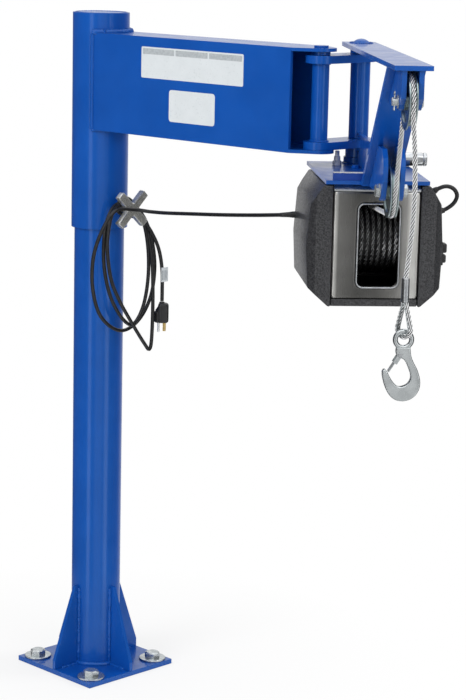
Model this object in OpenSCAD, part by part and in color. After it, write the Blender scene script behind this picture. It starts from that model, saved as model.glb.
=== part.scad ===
// Pedestal jib crane: floor plate and mast, turning sleeve with a box boom,
// folding link, and a lifting head that carries an electric rope winch.
// Millimetres, +Z up, origin at the centre of the floor plate's underside.

/* [Foot and mast] */
// Side of the square floor plate
base_w = 230.5; // [215:0.5:300]
// Thickness of the floor plate
base_t = 10; // [8:0.5:16]
// Distance of an anchor bolt from the mast axis, along X and along Y
bolt_offset = 86; // [80:0.5:92]
// Diameter of the anchor bolts
bolt_d = 19; // [12:0.5:22]
// Outside diameter of the anchor washers
washer_d = 56; // [48:0.5:58]
// Outside diameter of the mast tube
mast_d = 101.6; // [90:0.1:110]
// Wall of the mast tube
mast_wall = 6.35; // [4:0.05:10]
// Height of the mast's top above the floor
mast_top = 1357; // [1250:1:1500]
// Height of the four foot gussets above the floor plate
gusset_h = 170; // [100:1:220]
// Thickness of the foot gussets
gusset_t = 8; // [5:0.5:12]
// Height of the gusset's square toe
gusset_toe = 18; // [8:0.5:30]

/* [Sleeve and boom] */
// Wall of the turning sleeve
sleeve_wall = 6; // [4:0.05:9]
// Running gap between the mast and the sleeve
sleeve_gap = 0.35; // [0.3:0.01:0.6]
// Height of the sleeve's lower end above the floor
sleeve_bottom = 937; // [900:1:950]
// Thickness of the disc that closes the sleeve
cap_t = 8; // [5:0.5:14]
// Width of the boom's box section
boom_w = 101.5; // [90:0.5:108]
// Height of the boom's box section
boom_h = 192.8; // [185:0.1:200]
// Height of the boom's underside above the floor
boom_bottom = 1138.5; // [1130:0.5:1145]
// Wall of the boom's box section
boom_wall = 6.35; // [4:0.05:8]
// Distance from the mast axis to the boom's pin
boom_reach = 577; // [450:1:700]
// Distance of the end of the boom's side walls from its pin
boom_mouth = 30; // [29:0.5:60]
// Radius of the boom's ears around the pin
ear_r = 28.5; // [20:0.5:34]
// Turn of the boom about the mast, as it stands
boom_turn = 3; // [-10:0.5:10]
// Height of the lock knob above the floor
knob_z = 981; // [965:1:1000]
// Distance of the lock knob's back face from the sleeve
knob_gap = 27; // [20:0.5:40]
// Radius of the lock knob over its prongs
knob_r = 36; // [28:0.5:42]

/* [Link] */
// Distance between the link's two pins
link_len = 108; // [95:1:160]
// Radius of the link plates' round ends
link_r = 28.5; // [24:0.5:30]
// Thickness of a link plate
link_t = 14.5; // [10:0.5:18]
// Height of the link over both plates
link_h = 172.6; // [160:0.1:173]
// Diameter of the boom pin
boom_pin_d = 19; // [14:0.5:22]
// Outside diameter of the link's tube around the boom pin
link_tube_d = 32; // [28:0.5:40]
// Turn of the link from the boom, as it stands
link_turn = 86.6; // [60:0.1:88]

/* [Head] */
// Diameter of the head pin
head_pin_d = 25; // [18:0.5:28]
// Outside diameter of the head's tube around its pin
head_tube_d = 37.2; // [32:0.2:44]
// Turn of the head from the link, as it stands
head_turn = -129.7; // [-132:0.1:-100]
// Width of the top plate and of the strut
top_w = 63; // [56:0.5:70]
// Thickness of the top plate
top_t = 8; // [6:0.5:10]
// Height of the collar between the link and the head's top plate
collar_h = 11.45; // [8:0.05:14]
// Length of the top plate in front of the head pin
top_front = 610; // [600:1:640]
// Length of the top plate behind the head pin
top_back = 36; // [30:1:50]
// Height of the boss between the winch plate and the link
boss_h = 33.15; // [30:0.05:40]
// Thickness of the winch plate
plate_t = 7; // [5:0.5:10]
// Width of the winch plate
plate_w = 185; // [170:1:200]
// Length of the winch plate in front of the head pin
plate_front = 272; // [268:1:280]
// Length of the winch plate behind the head pin
plate_back = 28; // [26:1:60]
// Thickness of the strut
strut_t = 12; // [8:0.5:16]
// Distance from the upper axle back to the strut's back face at the top plate
strut_gap = 50; // [45:0.5:56]
// Thickness of the sheave ears
sheave_ear_t = 8.5; // [5:0.5:9]
// Thickness of the web between the winch plate and the link
web_t = 7; // [5:0.5:10]

/* [Sheaves and rope] */
// Diameter of the steel rope
rope_d = 6.4; // [4:0.1:7]
// Outside diameter of the rope sheaves
sheave_d = 92; // [84:0.5:94]
// Width of a sheave's rim
sheave_w = 14; // [12:0.5:18]
// Diameter of a sheave at the root of its groove
groove_d = 78; // [72:0.5:80]
// Distance of the upper sheave from the head pin
upper_u = 575; // [565:1:580]
// Drop of the upper sheave's axle below the top plate
upper_drop = 51.7; // [50:0.1:60]
// Distance of the lower sheave from the head pin
lower_u = 420; // [414:1:426]
// Rise of the lower sheave's axle above the winch plate
lower_rise = 1.5; // [-2:0.5:8]
// Diameter of the sheave axles
axle_d = 14; // [10:0.5:16]
// Inside gap between the upper sheave's ears
upper_gap = 20; // [18:0.5:26]
// Inside gap between the lower sheave's ears
lower_gap = 21; // [19:0.5:30]
// Height of the rope ferrule's top above the floor
ferrule_z = 998; // [900:1:1050]

/* [Winch] */
// Overall width of the winch
winch_w = 246; // [235:1:260]
// Distance of the winch's front from the head pin
winch_front = 272; // [262:1:273]
// Depth of the winch from front to back
winch_depth = 245; // [235:1:260]
// Height of the winch under its plate
winch_h = 219; // [214:1:226]
// Width of the steel cover over the drum
cover_w = 156; // [145:1:165]
// Thickness of the drum cover's sheet
cover_t = 2; // [1.5:0.1:4]
// Diameter of the rope wound on the drum, over its outer layer
wound_d = 124; // [110:1:130]
// Diameter of the drum's flanges
flange_d = 150; // [140:1:156]
// Distance of the drum's axis from the head pin
drum_u = 150; // [140:1:165]
// Height of the drum's axis above the winch's underside
drum_rise = 104; // [96:0.5:108]
// Diameter of the power lead
lead_d = 7.5; // [6:0.1:8]

/* [Hidden] */

$fn = 64;
seat = 0.3;
cut = 1;
sleeve_r = mast_d / 2 + sleeve_gap + sleeve_wall;
sleeve_bore_r = mast_d / 2 + sleeve_gap;
pad_t = 4;
cap_z = mast_top + pad_t + seat;
boom_top = boom_bottom + boom_h;
link_z = boom_bottom + boom_wall + seat;
link_top = link_z + link_h;
pin_fit = 0.05;
boom_pin_pos = [boom_reach * cos(boom_turn), boom_reach * sin(boom_turn)];
link_az = boom_turn + link_turn;
head_pin_pos = boom_pin_pos + link_len * [cos(link_az), sin(link_az)];
head_az = link_az + head_turn;
top_z = link_top + collar_h;
top_face = top_z + top_t;
plate_z = link_z - boss_h;
plate_under = plate_z - plate_t;
winch_bottom = plate_under - winch_h;
drum_z = winch_bottom + drum_rise;
upper_z = top_z - upper_drop;
lower_z = plate_z + lower_rise;
strut_top = upper_u - strut_gap;
groove_r = groove_d / 2;
pitch_r = groove_r + rope_d / 2 + seat;
fall_u = upper_u + pitch_r;
steel_blue = "#1d4fb0";
zinc = "#c9ccd0";
black = "#232427";
stainless = "#b9b7b1";

// Places the children in the boom's frame, X along the boom.
module on_boom() {
  rotate([0, 0, boom_turn]) children();
}

// Places the children in the link's frame, origin on the boom pin, X to the head pin.
module on_link() {
  translate([boom_pin_pos.x, boom_pin_pos.y, 0]) rotate([0, 0, link_az]) children();
}

// Places the children in the head's frame, origin on the head pin, X towards the hook.
module on_head() {
  translate([head_pin_pos.x, head_pin_pos.y, 0]) rotate([0, 0, head_az]) children();
}

// Stands an outline drawn in X and Z upright, w thick along Y, centred on y.
module upright(w, y = 0) {
  translate([0, y + w / 2, 0]) rotate([90, 0, 0]) linear_extrude(w) children();
}

// An upright cylinder between two heights.
module post(r, z0, z1) {
  translate([0, 0, z0]) cylinder(r = r, h = z1 - z0);
}

// A cylinder along Y through the point x, z, from y0 to y1.
module rod_y(r, x, z, y0, y1) {
  translate([x, y1, z]) rotate([90, 0, 0]) cylinder(r = r, h = y1 - y0);
}

// A ring standing on the plane z0.
module ring(r, bore, z0, z1) {
  difference() {
    post(r, z0, z1);
    post(bore, z0 - cut, z1 + cut);
  }
}

// ---- foot and mast ----

module base_plate() {
  color(steel_blue) difference() {
    translate([-base_w / 2, -base_w / 2, 0]) cube([base_w, base_w, base_t]);
    anchor_places() post(bolt_d / 2 + 1, -cut, base_t + cut);
  }
}

module anchor_places() {
  for (x = [-1, 1], y = [-1, 1])
    translate([x * bolt_offset, y * bolt_offset, 0]) children();
}

module foot_gussets() {
  inner = mast_d / 2 - 0.2;
  outer = base_w / 2 - 1;
  color(steel_blue) for (a = [0:90:270])
    rotate([0, 0, a]) difference() {
      upright(gusset_t) polygon([
        [inner, base_t], [outer, base_t], [outer, base_t + gusset_toe],
        [mast_d / 2 + 8, base_t + gusset_h], [inner, base_t + gusset_h]
      ]);
      post(mast_d / 2, base_t - cut, base_t + gusset_h + cut);
    }
}

washer_t = 4;
module anchor_washers() {
  color(zinc) anchor_places() ring(washer_d / 2, bolt_d / 2 + 0.8, base_t, base_t + washer_t);
}

head_af = bolt_d * 1.5;
head_h = bolt_d * 0.62;
module anchor_bolts() {
  z = base_t + washer_t;
  color(zinc) anchor_places() {
    post(bolt_d / 2, 0, z + cut);
    translate([0, 0, z]) cylinder(r = head_af / sqrt(3), h = head_h, $fn = 6);
  }
}

module mast_tube() {
  color(steel_blue) ring(mast_d / 2, mast_d / 2 - mast_wall, base_t, mast_top);
}

module mast_top_pad() {
  color("white") post(mast_d / 2, mast_top, mast_top + pad_t);
}

// ---- sleeve and boom ----

module sleeve_tube() {
  color(steel_blue) on_boom() difference() {
    ring(sleeve_r, sleeve_bore_r, sleeve_bottom, cap_z + cap_t);
    translate([0, 0, knob_z]) rotate([0, 90, 0]) cylinder(r = screw_r + 0.5, h = sleeve_r + cut);
  }
}

module sleeve_cap() {
  color(steel_blue) post(sleeve_bore_r, cap_z, cap_z + cap_t);
}

// Plan of the boom's top and bottom: full width, then tangent lines to the round ear.
module boom_plan() {
  mouth = boom_reach - boom_mouth;
  half = boom_w / 2;
  reach = norm([boom_mouth, half]);
  bearing = atan2(half, -boom_mouth) - acos(ear_r / reach);
  touch = ear_r * [cos(bearing), sin(bearing)];
  polygon([
    [0, -half], [mouth, -half], [boom_reach + touch.x, -touch.y],
    [boom_reach + touch.x, touch.y], [mouth, half], [0, half]
  ]);
  translate([boom_reach, 0]) circle(ear_r);
}

module boom_box() {
  mouth = boom_reach - boom_mouth;
  inner_w = boom_w - 2 * boom_wall;
  color(steel_blue) on_boom() difference() {
    translate([0, 0, boom_bottom]) linear_extrude(boom_h) boom_plan();
    translate([-cut, -inner_w / 2, boom_bottom + boom_wall])
      cube([mouth + 2 * cut, inner_w, boom_h - 2 * boom_wall]);
    translate([mouth, -boom_w, boom_bottom + boom_wall])
      cube([boom_mouth + ear_r + cut, 2 * boom_w, boom_h - 2 * boom_wall]);
    post(sleeve_r, boom_bottom - cut, boom_top + cut);
    translate([boom_reach, 0, 0])
      post(boom_pin_d / 2 + pin_fit, boom_bottom - cut, boom_top + cut);
  }
}

screw_r = 8;
boss_len = 10;
knob_t = 17;
knob_x = sleeve_r + knob_gap;
module knob_boss() {
  color(steel_blue) on_boom() difference() {
    translate([0, 0, knob_z]) rotate([0, 90, 0]) cylinder(r = 15, h = sleeve_r + boss_len);
    translate([0, 0, knob_z]) rotate([0, 90, 0])
      cylinder(r = screw_r + pin_fit, h = sleeve_r + boss_len + cut);
    post(sleeve_r, knob_z - 40, knob_z + 40);
  }
}

// Cast knob with four round prongs on a screw that clamps the mast.
module lock_knob() {
  prong = knob_r / 4;
  color("#8d8f90") on_boom() translate([knob_x, 0, knob_z]) rotate([0, 90, 0]) {
    for (a = [45:90:315]) rotate([0, 0, a]) {
      translate([knob_r - prong, 0, 2]) cylinder(r = prong, h = knob_t - 4);
      translate([0, -prong * 0.75, 3]) cube([knob_r - prong, prong * 1.5, knob_t - 6]);
    }
    cylinder(r = knob_r * 0.42, h = knob_t);
    translate([0, 0, -knob_gap + sleeve_r - sleeve_bore_r - sleeve_wall + seat])
      cylinder(r = screw_r, h = knob_gap + cut);
  }
}

pin_head_h = 4;
module boom_pin() {
  color(zinc) on_boom() translate([boom_reach, 0, 0]) {
    post(boom_pin_d / 2, boom_bottom - 2, boom_top + cut);
    post(boom_pin_d * 0.7, boom_top, boom_top + pin_head_h);
  }
}

module pin_washer() {
  color(zinc) on_boom() translate([boom_reach, 0, 0])
    ring(boom_pin_d * 0.9, boom_pin_d / 2 + pin_fit, link_top + seat, boom_top - boom_wall);
}

// ---- link ----

// Plan of a link plate: round ends on both pins, less the two pin bores.
module link_plan() {
  difference() {
    union() {
      circle(link_r);
      translate([link_len, 0]) circle(link_r);
      translate([0, -link_r]) square([link_len, 2 * link_r]);
    }
    circle(boom_pin_d / 2 + pin_fit);
    translate([link_len, 0]) circle(head_pin_d / 2 + pin_fit);
  }
}

module link_lower_plate() {
  color(steel_blue) on_link() translate([0, 0, link_z]) linear_extrude(link_t) link_plan();
}

module link_upper_plate() {
  color(steel_blue) on_link() translate([0, 0, link_top - link_t])
    linear_extrude(link_t) link_plan();
}

module link_tube() {
  color(steel_blue) on_link()
    ring(link_tube_d / 2, boom_pin_d / 2 + pin_fit, link_z + link_t, link_top - link_t);
}

// ---- head ----

module head_pin() {
  color(steel_blue) on_head() {
    post(head_pin_d / 2, plate_z, top_face + cut);
    difference() {
      translate([0, 0, top_face - 13]) sphere(r = 21);
      translate([0, 0, top_face - 50]) cube(100, center = true);
    }
  }
}

module head_collar() {
  color(steel_blue) on_head() ring(20, head_pin_d / 2 + pin_fit, link_top + seat, top_z);
}

module head_tube() {
  color(steel_blue) on_head()
    ring(head_tube_d / 2, head_pin_d / 2 + pin_fit, link_z + link_t + seat, link_top - link_t - seat);
}

boss_step = 13;
boss_lip = 3;
boss_r = 23.5;
module head_boss() {
  color(steel_blue) on_head() difference() {
    union() {
      post(boss_r + boss_lip, plate_z, plate_z + boss_step);
      post(boss_r, plate_z, link_z - seat);
    }
    post(head_pin_d / 2 + pin_fit, plate_z - cut, link_z + cut);
  }
}

module top_plate() {
  color(steel_blue) on_head() difference() {
    translate([-top_back, -top_w / 2, top_z]) cube([top_back + top_front, top_w, top_t]);
    post(head_pin_d / 2 + pin_fit, top_z - cut, top_face + cut);
  }
}

module winch_plate() {
  color(steel_blue) on_head()
    translate([-plate_back, -plate_w / 2, plate_under])
      cube([plate_back + plate_front, plate_w, plate_t]);
}

// The strut leans from the winch plate's front edge up to the top plate.
strut_rise = top_z - plate_under;
strut_run = strut_top - plate_front;
strut_flat = strut_t * norm([strut_rise, strut_run]) / strut_rise;
function strut_back(z) = plate_front + (z - plate_under) * strut_run / strut_rise;
function strut_face(z) = strut_back(z) + strut_flat;

module strut() {
  color(steel_blue) on_head() upright(top_w) polygon([
    [plate_front, plate_under], [plate_front + strut_flat, plate_under],
    [strut_top + strut_flat, top_z], [strut_top, top_z]
  ]);
}

// Upright web from the head tube to the strut, slotted where the link plate swings.
web_top = link_z + 26;
web_slot = 60;
module head_web() {
  start = head_tube_d / 2 - 0.1;
  slot_z0 = link_z - 6;
  slot_z1 = link_z + link_t + 6;
  color(steel_blue) on_head() difference() {
    upright(web_t) polygon([
      [start, plate_z], [strut_back(plate_z), plate_z], [strut_back(web_top), web_top],
      [start, web_top]
    ]);
    translate([-cut, -web_t, slot_z0]) cube([web_slot + cut, 2 * web_t, slot_z1 - slot_z0]);
    post(head_tube_d / 2, slot_z1, web_top + cut);
    post(boss_r, plate_z - cut, slot_z1);
    post(boss_r + boss_lip, plate_z - cut, plate_z + boss_step);
  }
}

upper_nose = 14;
upper_ear_z = upper_z - 9.5;
module upper_ears() {
  ear_front = top_front - 7;
  for (s = [-1, 1]) color(steel_blue) on_head() difference() {
    upright(sheave_ear_t, s * (upper_gap + sheave_ear_t) / 2) union() {
      polygon([
        [strut_face(upper_ear_z), upper_ear_z], [strut_face(top_z), top_z],
        [ear_front, top_z], [ear_front, upper_z + 6], [upper_u + upper_nose, upper_z - 4],
        [upper_u, upper_z - upper_nose]
      ]);
      translate([upper_u, upper_z]) circle(upper_nose);
    }
    rod_y(axle_d / 2 + pin_fit, upper_u, upper_z, -top_w, top_w);
  }
}

lower_nose = 17;
lower_ear_top = lower_z + 72;
module lower_ears() {
  for (s = [-1, 1]) color(steel_blue) on_head() difference() {
    upright(sheave_ear_t, s * (lower_gap + sheave_ear_t) / 2) union() {
      polygon([
        [strut_face(plate_under), plate_under], [strut_face(lower_ear_top), lower_ear_top],
        [lower_u + 8, lower_ear_top], [lower_u + 22, lower_ear_top - 14],
        [lower_u + 28, lower_z + 44], [lower_u + 26, lower_z + 18],
        [lower_u + lower_nose, lower_z - 2], [lower_u, lower_z - lower_nose],
        [lower_u - lower_nose, lower_z - 8]
      ]);
      translate([lower_u, lower_z]) circle(lower_nose);
    }
    rod_y(axle_d / 2 + pin_fit, lower_u, lower_z, -top_w, top_w);
  }
}

module upper_axle() {
  outer = upper_gap / 2 + sheave_ear_t;
  color(zinc) on_head() {
    rod_y(axle_d / 2, upper_u, upper_z, -outer - 11, outer + cut);
    rod_y(axle_d * 0.65, upper_u, upper_z, outer, outer + 3);
  }
}

module lower_axle() {
  outer = lower_gap / 2 + sheave_ear_t;
  color(zinc) on_head() {
    rod_y(axle_d / 2, lower_u, lower_z, -outer - cut, outer + 9);
    for (y = [-outer - 8, outer]) translate([lower_u, y + 8, lower_z]) rotate([90, 0, 0])
      cylinder(r = axle_d * 0.9, h = 8, $fn = 6);
  }
}

module stop_bar() {
  color("#1b2f63") on_head() translate([plate_front - 13, -79.5, plate_z]) cube([11, 57, 13.5]);
}

plunger_y = -43;
module index_plunger() {
  color(zinc) on_head() translate([34, plunger_y, 0]) {
    post(5.5, plate_z, plate_z + 19.5);
    post(3.5, plate_z, link_z - 6);
  }
}

roller_r = 12.5;
roller_u = 38;
roller_gap = 0.5;
module side_roller() {
  y0 = plate_w / 2 - 9;
  color(zinc) on_head() {
    rod_y(roller_r, roller_u, plate_z + roller_r + roller_gap, y0, y0 + 41);
    translate([roller_u - 3, y0 + 1, plate_z]) cube([6, 6, roller_r]);
  }
}

// ---- winch ----

winch_top = plate_under;
winch_back = winch_front - winch_depth;
cover_top = plate_under - 11.5;
cover_low = winch_bottom + 14.5;
window_w = 76;
window_h = 151;
window_right = 42;

// Outline of an end housing across the winch, outer side towards +X.
module end_outline(inner, outer) {
  polygon([
    [inner, winch_bottom], [outer - 40, winch_bottom], [outer - 4, winch_bottom + 32],
    [outer, winch_bottom + 106], [outer - 6, cover_top - 24], [outer - 28, winch_top - 2],
    [inner, winch_top - 2]
  ]);
}

// One black end housing: extruded along the winch, its front and back edges bevelled.
module winch_end(s) {
  bevel = 16;
  inner = cover_w / 2 + seat;
  outer = winch_w / 2;
  color(black) on_head() difference() {
    translate([winch_back, 0, 0]) rotate([90, 0, 90])
      linear_extrude(winch_depth) scale([s, 1]) end_outline(inner, outer);
    for (x = [winch_front, winch_back]) translate([x, s * outer, 0])
      rotate([0, 0, 45]) cube([bevel, bevel, 3 * winch_bottom], center = true);
  }
}

module winch_left_end() {
  winch_end(-1);
}

module winch_right_end() {
  winch_end(1);
}

// Steel cover around the drum: a bent sheet, open at the back, with the rope window.
module winch_cover() {
  z0 = cover_low;
  color(stainless) on_head() difference() {
    translate([0, cover_w / 2, 0]) rotate([90, 0, 0]) linear_extrude(cover_w) difference() {
      polygon([
        [winch_back + 30, z0], [winch_front, z0], [winch_front, cover_top],
        [winch_back + 30, cover_top]
      ]);
      polygon([
        [winch_back, z0 + cover_t], [winch_front - cover_t, z0 + cover_t],
        [winch_front - cover_t, cover_top - cover_t], [winch_back, cover_top - cover_t]
      ]);
    }
    translate([winch_front - 2 * cover_t, window_right - window_w, cover_low + 20])
      cube([4 * cover_t, window_w, window_h]);
  }
}

// Winch base under the plate, with the side frames that carry the drum.
module winch_frame() {
  inner = cover_w / 2 - seat;
  frame_z0 = cover_low + cover_t + seat;
  color("#5a5c5e") on_head() {
    translate([winch_back + 6, -inner, cover_top + seat])
      cube([winch_depth - 16, 2 * inner, winch_top - cover_top - seat]);
    translate([winch_back + 6, -inner, winch_bottom])
      cube([winch_depth - 16, 2 * inner, cover_low - winch_bottom - seat]);
    for (s = [-1, 1]) difference() {
      translate([winch_back + 34, s * (inner - 5) - 5, frame_z0])
        cube([winch_depth - 44, 10, cover_top - cover_t - seat - frame_z0]);
      rod_y(drum_axle_r + pin_fit, drum_u, drum_z, -winch_w, winch_w);
    }
  }
}

drum_axle_r = 12;
module winch_drum() {
  half = cover_w / 2 - 11.5;
  core_r = wound_d / 2;
  color("#a8abad") on_head() translate([drum_u, 0, drum_z]) rotate([90, 0, 0]) {
    translate([0, 0, -half]) cylinder(r = core_r, h = 2 * half);
    for (z = [-half, half - 4]) translate([0, 0, z]) cylinder(r = flange_d / 2, h = 4);
    translate([0, 0, -half - 10]) cylinder(r = drum_axle_r, h = 2 * half + 20);
  }
}

// ---- sheaves ----

// Grooved sheave about Y with a bore for its axle and a hub as wide as the ears allow.
module sheave(u, z, gap) {
  r = sheave_d / 2;
  half = sheave_w / 2;
  hub = gap / 2 - seat;
  g = rope_d / 2 + 0.6;
  color("#5f8f92") on_head() translate([u, 0, z]) rotate([90, 0, 0]) rotate_extrude() polygon([
    [axle_d / 2 + pin_fit, -hub], [axle_d / 2 + 7, -hub], [axle_d / 2 + 7, -half + 2.5],
    [groove_r - 5, -half + 2.5], [groove_r - 3, -half], [r, -half],
    [r, -g - 1.2], [groove_r + rope_d / 2, -g], [groove_r + 0.6, -g * 0.6], [groove_r, 0],
    [groove_r + 0.6, g * 0.6], [groove_r + rope_d / 2, g], [r, g + 1.2],
    [r, half], [groove_r - 3, half], [groove_r - 5, half - 2.5],
    [axle_d / 2 + 7, half - 2.5], [axle_d / 2 + 7, hub], [axle_d / 2 + pin_fit, hub]
  ]);
}

module upper_sheave() {
  sheave(upper_u, upper_z, upper_gap);
}

module lower_sheave() {
  sheave(lower_u, lower_z, lower_gap);
}

// ---- rope ----

// Sweeps a round section along points, carrying its side vector from ring to ring.
function unit(v) = v / norm(v);
function heading(p, i) = unit(p[min(i + 1, len(p) - 1)] - p[max(i - 1, 0)]);
function carried(n, t) = unit(n - t * (n * t));
module tube_along(p, d, side, sides = 8) {
  t = [for (i = [0:len(p) - 1]) heading(p, i)];
  n = [
    for (i = 0, v = carried(side, t[0]); i < len(p); i = i + 1, v = carried(v, t[min(i, len(p) - 1)]))
      v
  ];
  rings = [
    for (i = [0:len(p) - 1]) for (k = [0:sides - 1])
      p[i] + d / 2 * (cos(360 * k / sides) * n[i] + sin(360 * k / sides) * cross(t[i], n[i]))
  ];
  last = (len(p) - 1) * sides;
  walls = [
    for (i = [0:len(p) - 2]) for (k = [0:sides - 1])
      let (a = i * sides + k, b = i * sides + (k + 1) % sides) [a, a + sides, b + sides, b]
  ];
  ends = [[for (k = [0:sides - 1]) k], [for (k = [sides - 1:-1:0]) last + k]];
  polyhedron(rings, concat(walls, ends));
}

// Smooth curve through points, with a few steps between each two.
function catmull(a, b, c, d, t) = 0.5 * (2 * b + (c - a) * t
  + (2 * a - 5 * b + 4 * c - d) * t * t + (3 * b - a - 3 * c + d) * t * t * t);
function smooth(p, steps) = [
  for (i = [0:len(p) - 2]) for (k = [0:steps - 1])
    catmull(p[max(i - 1, 0)], p[i], p[i + 1], p[min(i + 2, len(p) - 1)], k / steps),
  p[len(p) - 1]
];

// Rope: off the drum's top, under the lower sheave, behind and over the upper one.
span = [upper_u - lower_u, upper_z - lower_z];
rise_angle = atan2(span.y, span.x) + asin(2 * pitch_r / norm(span));
feed_r = wound_d / 2 + rope_d / 2 + seat;
feed = [lower_u - drum_u, lower_z - drum_z];
feed_angle = atan2(feed.y, feed.x) - asin((feed_r + pitch_r) / norm(feed));
function around(u, z, r, a) = [u + r * cos(a), 0, z + r * sin(a)];
wrap_steps = 16;
rope_points = concat(
  [around(drum_u, drum_z, feed_r, 90 + feed_angle)],
  [for (k = [0:6])
    around(lower_u, lower_z, pitch_r, -90 + feed_angle + k * (rise_angle - feed_angle) / 6)],
  [for (k = [0:wrap_steps])
    around(upper_u, upper_z, pitch_r, 90 + rise_angle - k * (90 + rise_angle) / wrap_steps)]
);

module rope_run() {
  color("silver") on_head() tube_along(rope_points, rope_d, [0, 1, 0]);
}

module rope_fall() {
  color("silver") on_head() translate([fall_u, 0, 0])
    post(rope_d / 2, ferrule_z, upper_z - 2 * seat);
}

// ---- hook ----

hang = -2;
eye_z = ferrule_z - 102;
eye_r = 13.4;
eye_bar = 4.3;
ferrule_len = 41;
thimble_w = 5.4;
thimble_flare = 1.2;
flare_start = 0.5;
thimble_r = 15;
thimble_bore = 9.8;
thimble_turn = 40;
thimble_z = eye_z + eye_r + thimble_bore - eye_bar - 3;
hook_t = 11;

// Ferrule and thimble of the rope: a drop-shaped loop that carries the hook's eye.
module rope_end() {
  top = ferrule_z - seat;
  throat_z = top - ferrule_len;
  color(zinc) on_head() translate([fall_u, hang, 0]) rotate([0, 0, thimble_turn]) {
    post(5.6, throat_z, top);
    difference() {
      rotate([0, 0, 90]) upright(thimble_w) difference() {
        union() {
          translate([0, thimble_z]) circle(thimble_r);
          polygon([
            [-thimble_r, thimble_z + 2], [thimble_r, thimble_z + 2], [4, throat_z + 3],
            [-4, throat_z + 3]
          ]);
        }
        polygon([
          [-thimble_bore, thimble_z + 1], [thimble_bore, thimble_z + 1], [0, throat_z - 12]
        ]);
      }
      // The bore opens towards both faces, so that the eye's bar can cross it at a slant.
      for (tip = [-90, 90]) translate([0, 0, thimble_z]) rotate([0, tip, 0])
        translate([0, 0, -flare_start])
          cylinder(r1 = thimble_bore - thimble_flare * flare_start,
            r2 = thimble_bore + thimble_flare * thimble_w, h = thimble_w + flare_start);
    }
  }
}

// Side view of the forged hook below its eye, measured from the eye's centre.
hook_outline = [
  [-11.5, -12.5], [-12.5, -20], [-9.5, -28], [-1, -31.5], [4.5, -37], [9.5, -48], [13, -58],
  [12.5, -67], [6.5, -75], [-3.5, -78], [-11, -74.5], [-19, -64.5], [-25.5, -52.5],
  [-29.5, -49], [-33.4, -52], [-33.2, -61], [-29, -76.5], [-21.5, -91], [-11, -99.8],
  [1, -102.2], [13, -99.6], [23, -92], [29, -80], [29.3, -66], [24.5, -50], [17.5, -37],
  [13.2, -26], [11.5, -12.5]
];

// Eye hook: a ring bent from round bar on a forged body with a wide bowl and a latch pin.
module hook() {
  color(zinc) on_head() translate([fall_u, hang, eye_z]) rotate([0, 0, 90]) {
    rotate([90, 0, 0]) rotate_extrude() translate([eye_r, 0]) circle(eye_bar, $fn = 32);
    upright(hook_t) polygon(smooth(hook_outline, 2));
    rod_y(latch_pin_r, latch_y, latch_drop, -latch_half - 0.5, latch_half + 0.5);
  }
}

latch_y = -5.3;
latch_drop = -25.1;
latch_pin_r = 2;
latch_len = 33.5;
latch_lean = -32;
latch_half = hook_t / 2 + 1.8;
module hook_latch() {
  sheet = 1.4;
  color(zinc) on_head() translate([fall_u, hang + latch_y, eye_z + latch_drop])
    rotate([latch_lean, 0, 0]) {
      for (x = [-latch_half, latch_half - sheet]) difference() {
        translate([x, -3.5, -16]) cube([sheet, 7, 19.5]);
        rotate([0, 90, 0])
          cylinder(r = latch_pin_r + pin_fit, h = 4 * latch_half, center = true);
      }
      translate([-latch_half, -sheet, -latch_len])
        cube([2 * latch_half, sheet, latch_len - 12]);
    }
}

// ---- power lead ----

// Route of the lead: its loops over the lock knob, in the boom's frame.
loop_points = [
  [120, 24, 980], [114, 6, 992], [108, -26, 998], [98, -62, 980], [90, -88, 935], [84, -100, 880],
  [82, -96, 825], [80, -76, 775], [80, -40, 742], [80, 0, 732], [80, 42, 752], [80, 72, 795],
  [80, 82, 855], [78, 74, 915], [74, 46, 970], [72, 12, 1004], [72, -24, 1002], [80, -56, 972],
  [90, -74, 920], [92, -74, 865], [92, -56, 808], [92, -24, 762], [92, 8, 744], [92, 36, 775],
  [92, 50, 830], [90, 50, 890], [84, 36, 955], [76, 8, 1013], [74, -30, 1010], [88, -62, 975],
  [102, -78, 915], [106, -70, 850], [106, -44, 800], [106, -8, 750], [106, 26, 702],
  [106, 50, 694], [106, 60, 740], [104, 60, 810], [102, 56, 880], [90, 46, 955], [80, 38, 994],
  [78, 14, 1020], [92, -16, 1013], [112, 10, 1010], [118, 44, 966], [116, 72, 912],
  [110, 84, 868], [108, 86, 842], [108, 86, 800],
  [108, 86, 762]
];
plug_drop = 44;
plug_at = loop_points[len(loop_points) - 1] - [0, 0, plug_drop];
lead_exit = [536.1, 13.4, 1020];
span_points = [
  lead_exit, [527.1, 2.7, 1019.6], [512, -4, 1018], [440, 0, 1009], [350, 5, 999], [260, 12, 990],
  [180, 20, 982], [140, 28, 978], [130, 33, 977]
];

module lead_loops() {
  color(black) on_boom() tube_along(loop_points, lead_d, [0, 0, 1]);
}

module lead_span() {
  color(black) tube_along(span_points, lead_d, [0, 0, 1]);
}

module lead_plug() {
  color(black) on_boom() translate(plug_at) {
    translate([-9, -13, 0]) cube([18, 26, 30]);
    post(6, 30, plug_drop - 0.4);
    for (y = [-6.4, 6.4]) translate([-3.2, y - 0.8, -18]) cube([6.4, 1.6, 18.5]);
    post(2.4, -18, 0.5);
  }
}

module lead_tag() {
  color("white") on_boom() translate(plug_at + [lead_d / 2 + 0.3, -10, 86]) cube([0.8, 20, 30]);
}

module switch_lead() {
  color(black) on_head() translate([winch_front - 60, 0, 0]) {
    loop = [
      [0, 107.4, 1085.7], [1, 115, 1091], [3, 131, 1097], [4, 145, 1093], [4, 152, 1081],
      [3, 147, 1067], [1, 134, 1056], [0, 124, 1052.5], [0, 119.5, 1052]
    ];
    tube_along(loop, lead_d, [1, 0, 0]);
  }
}

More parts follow.
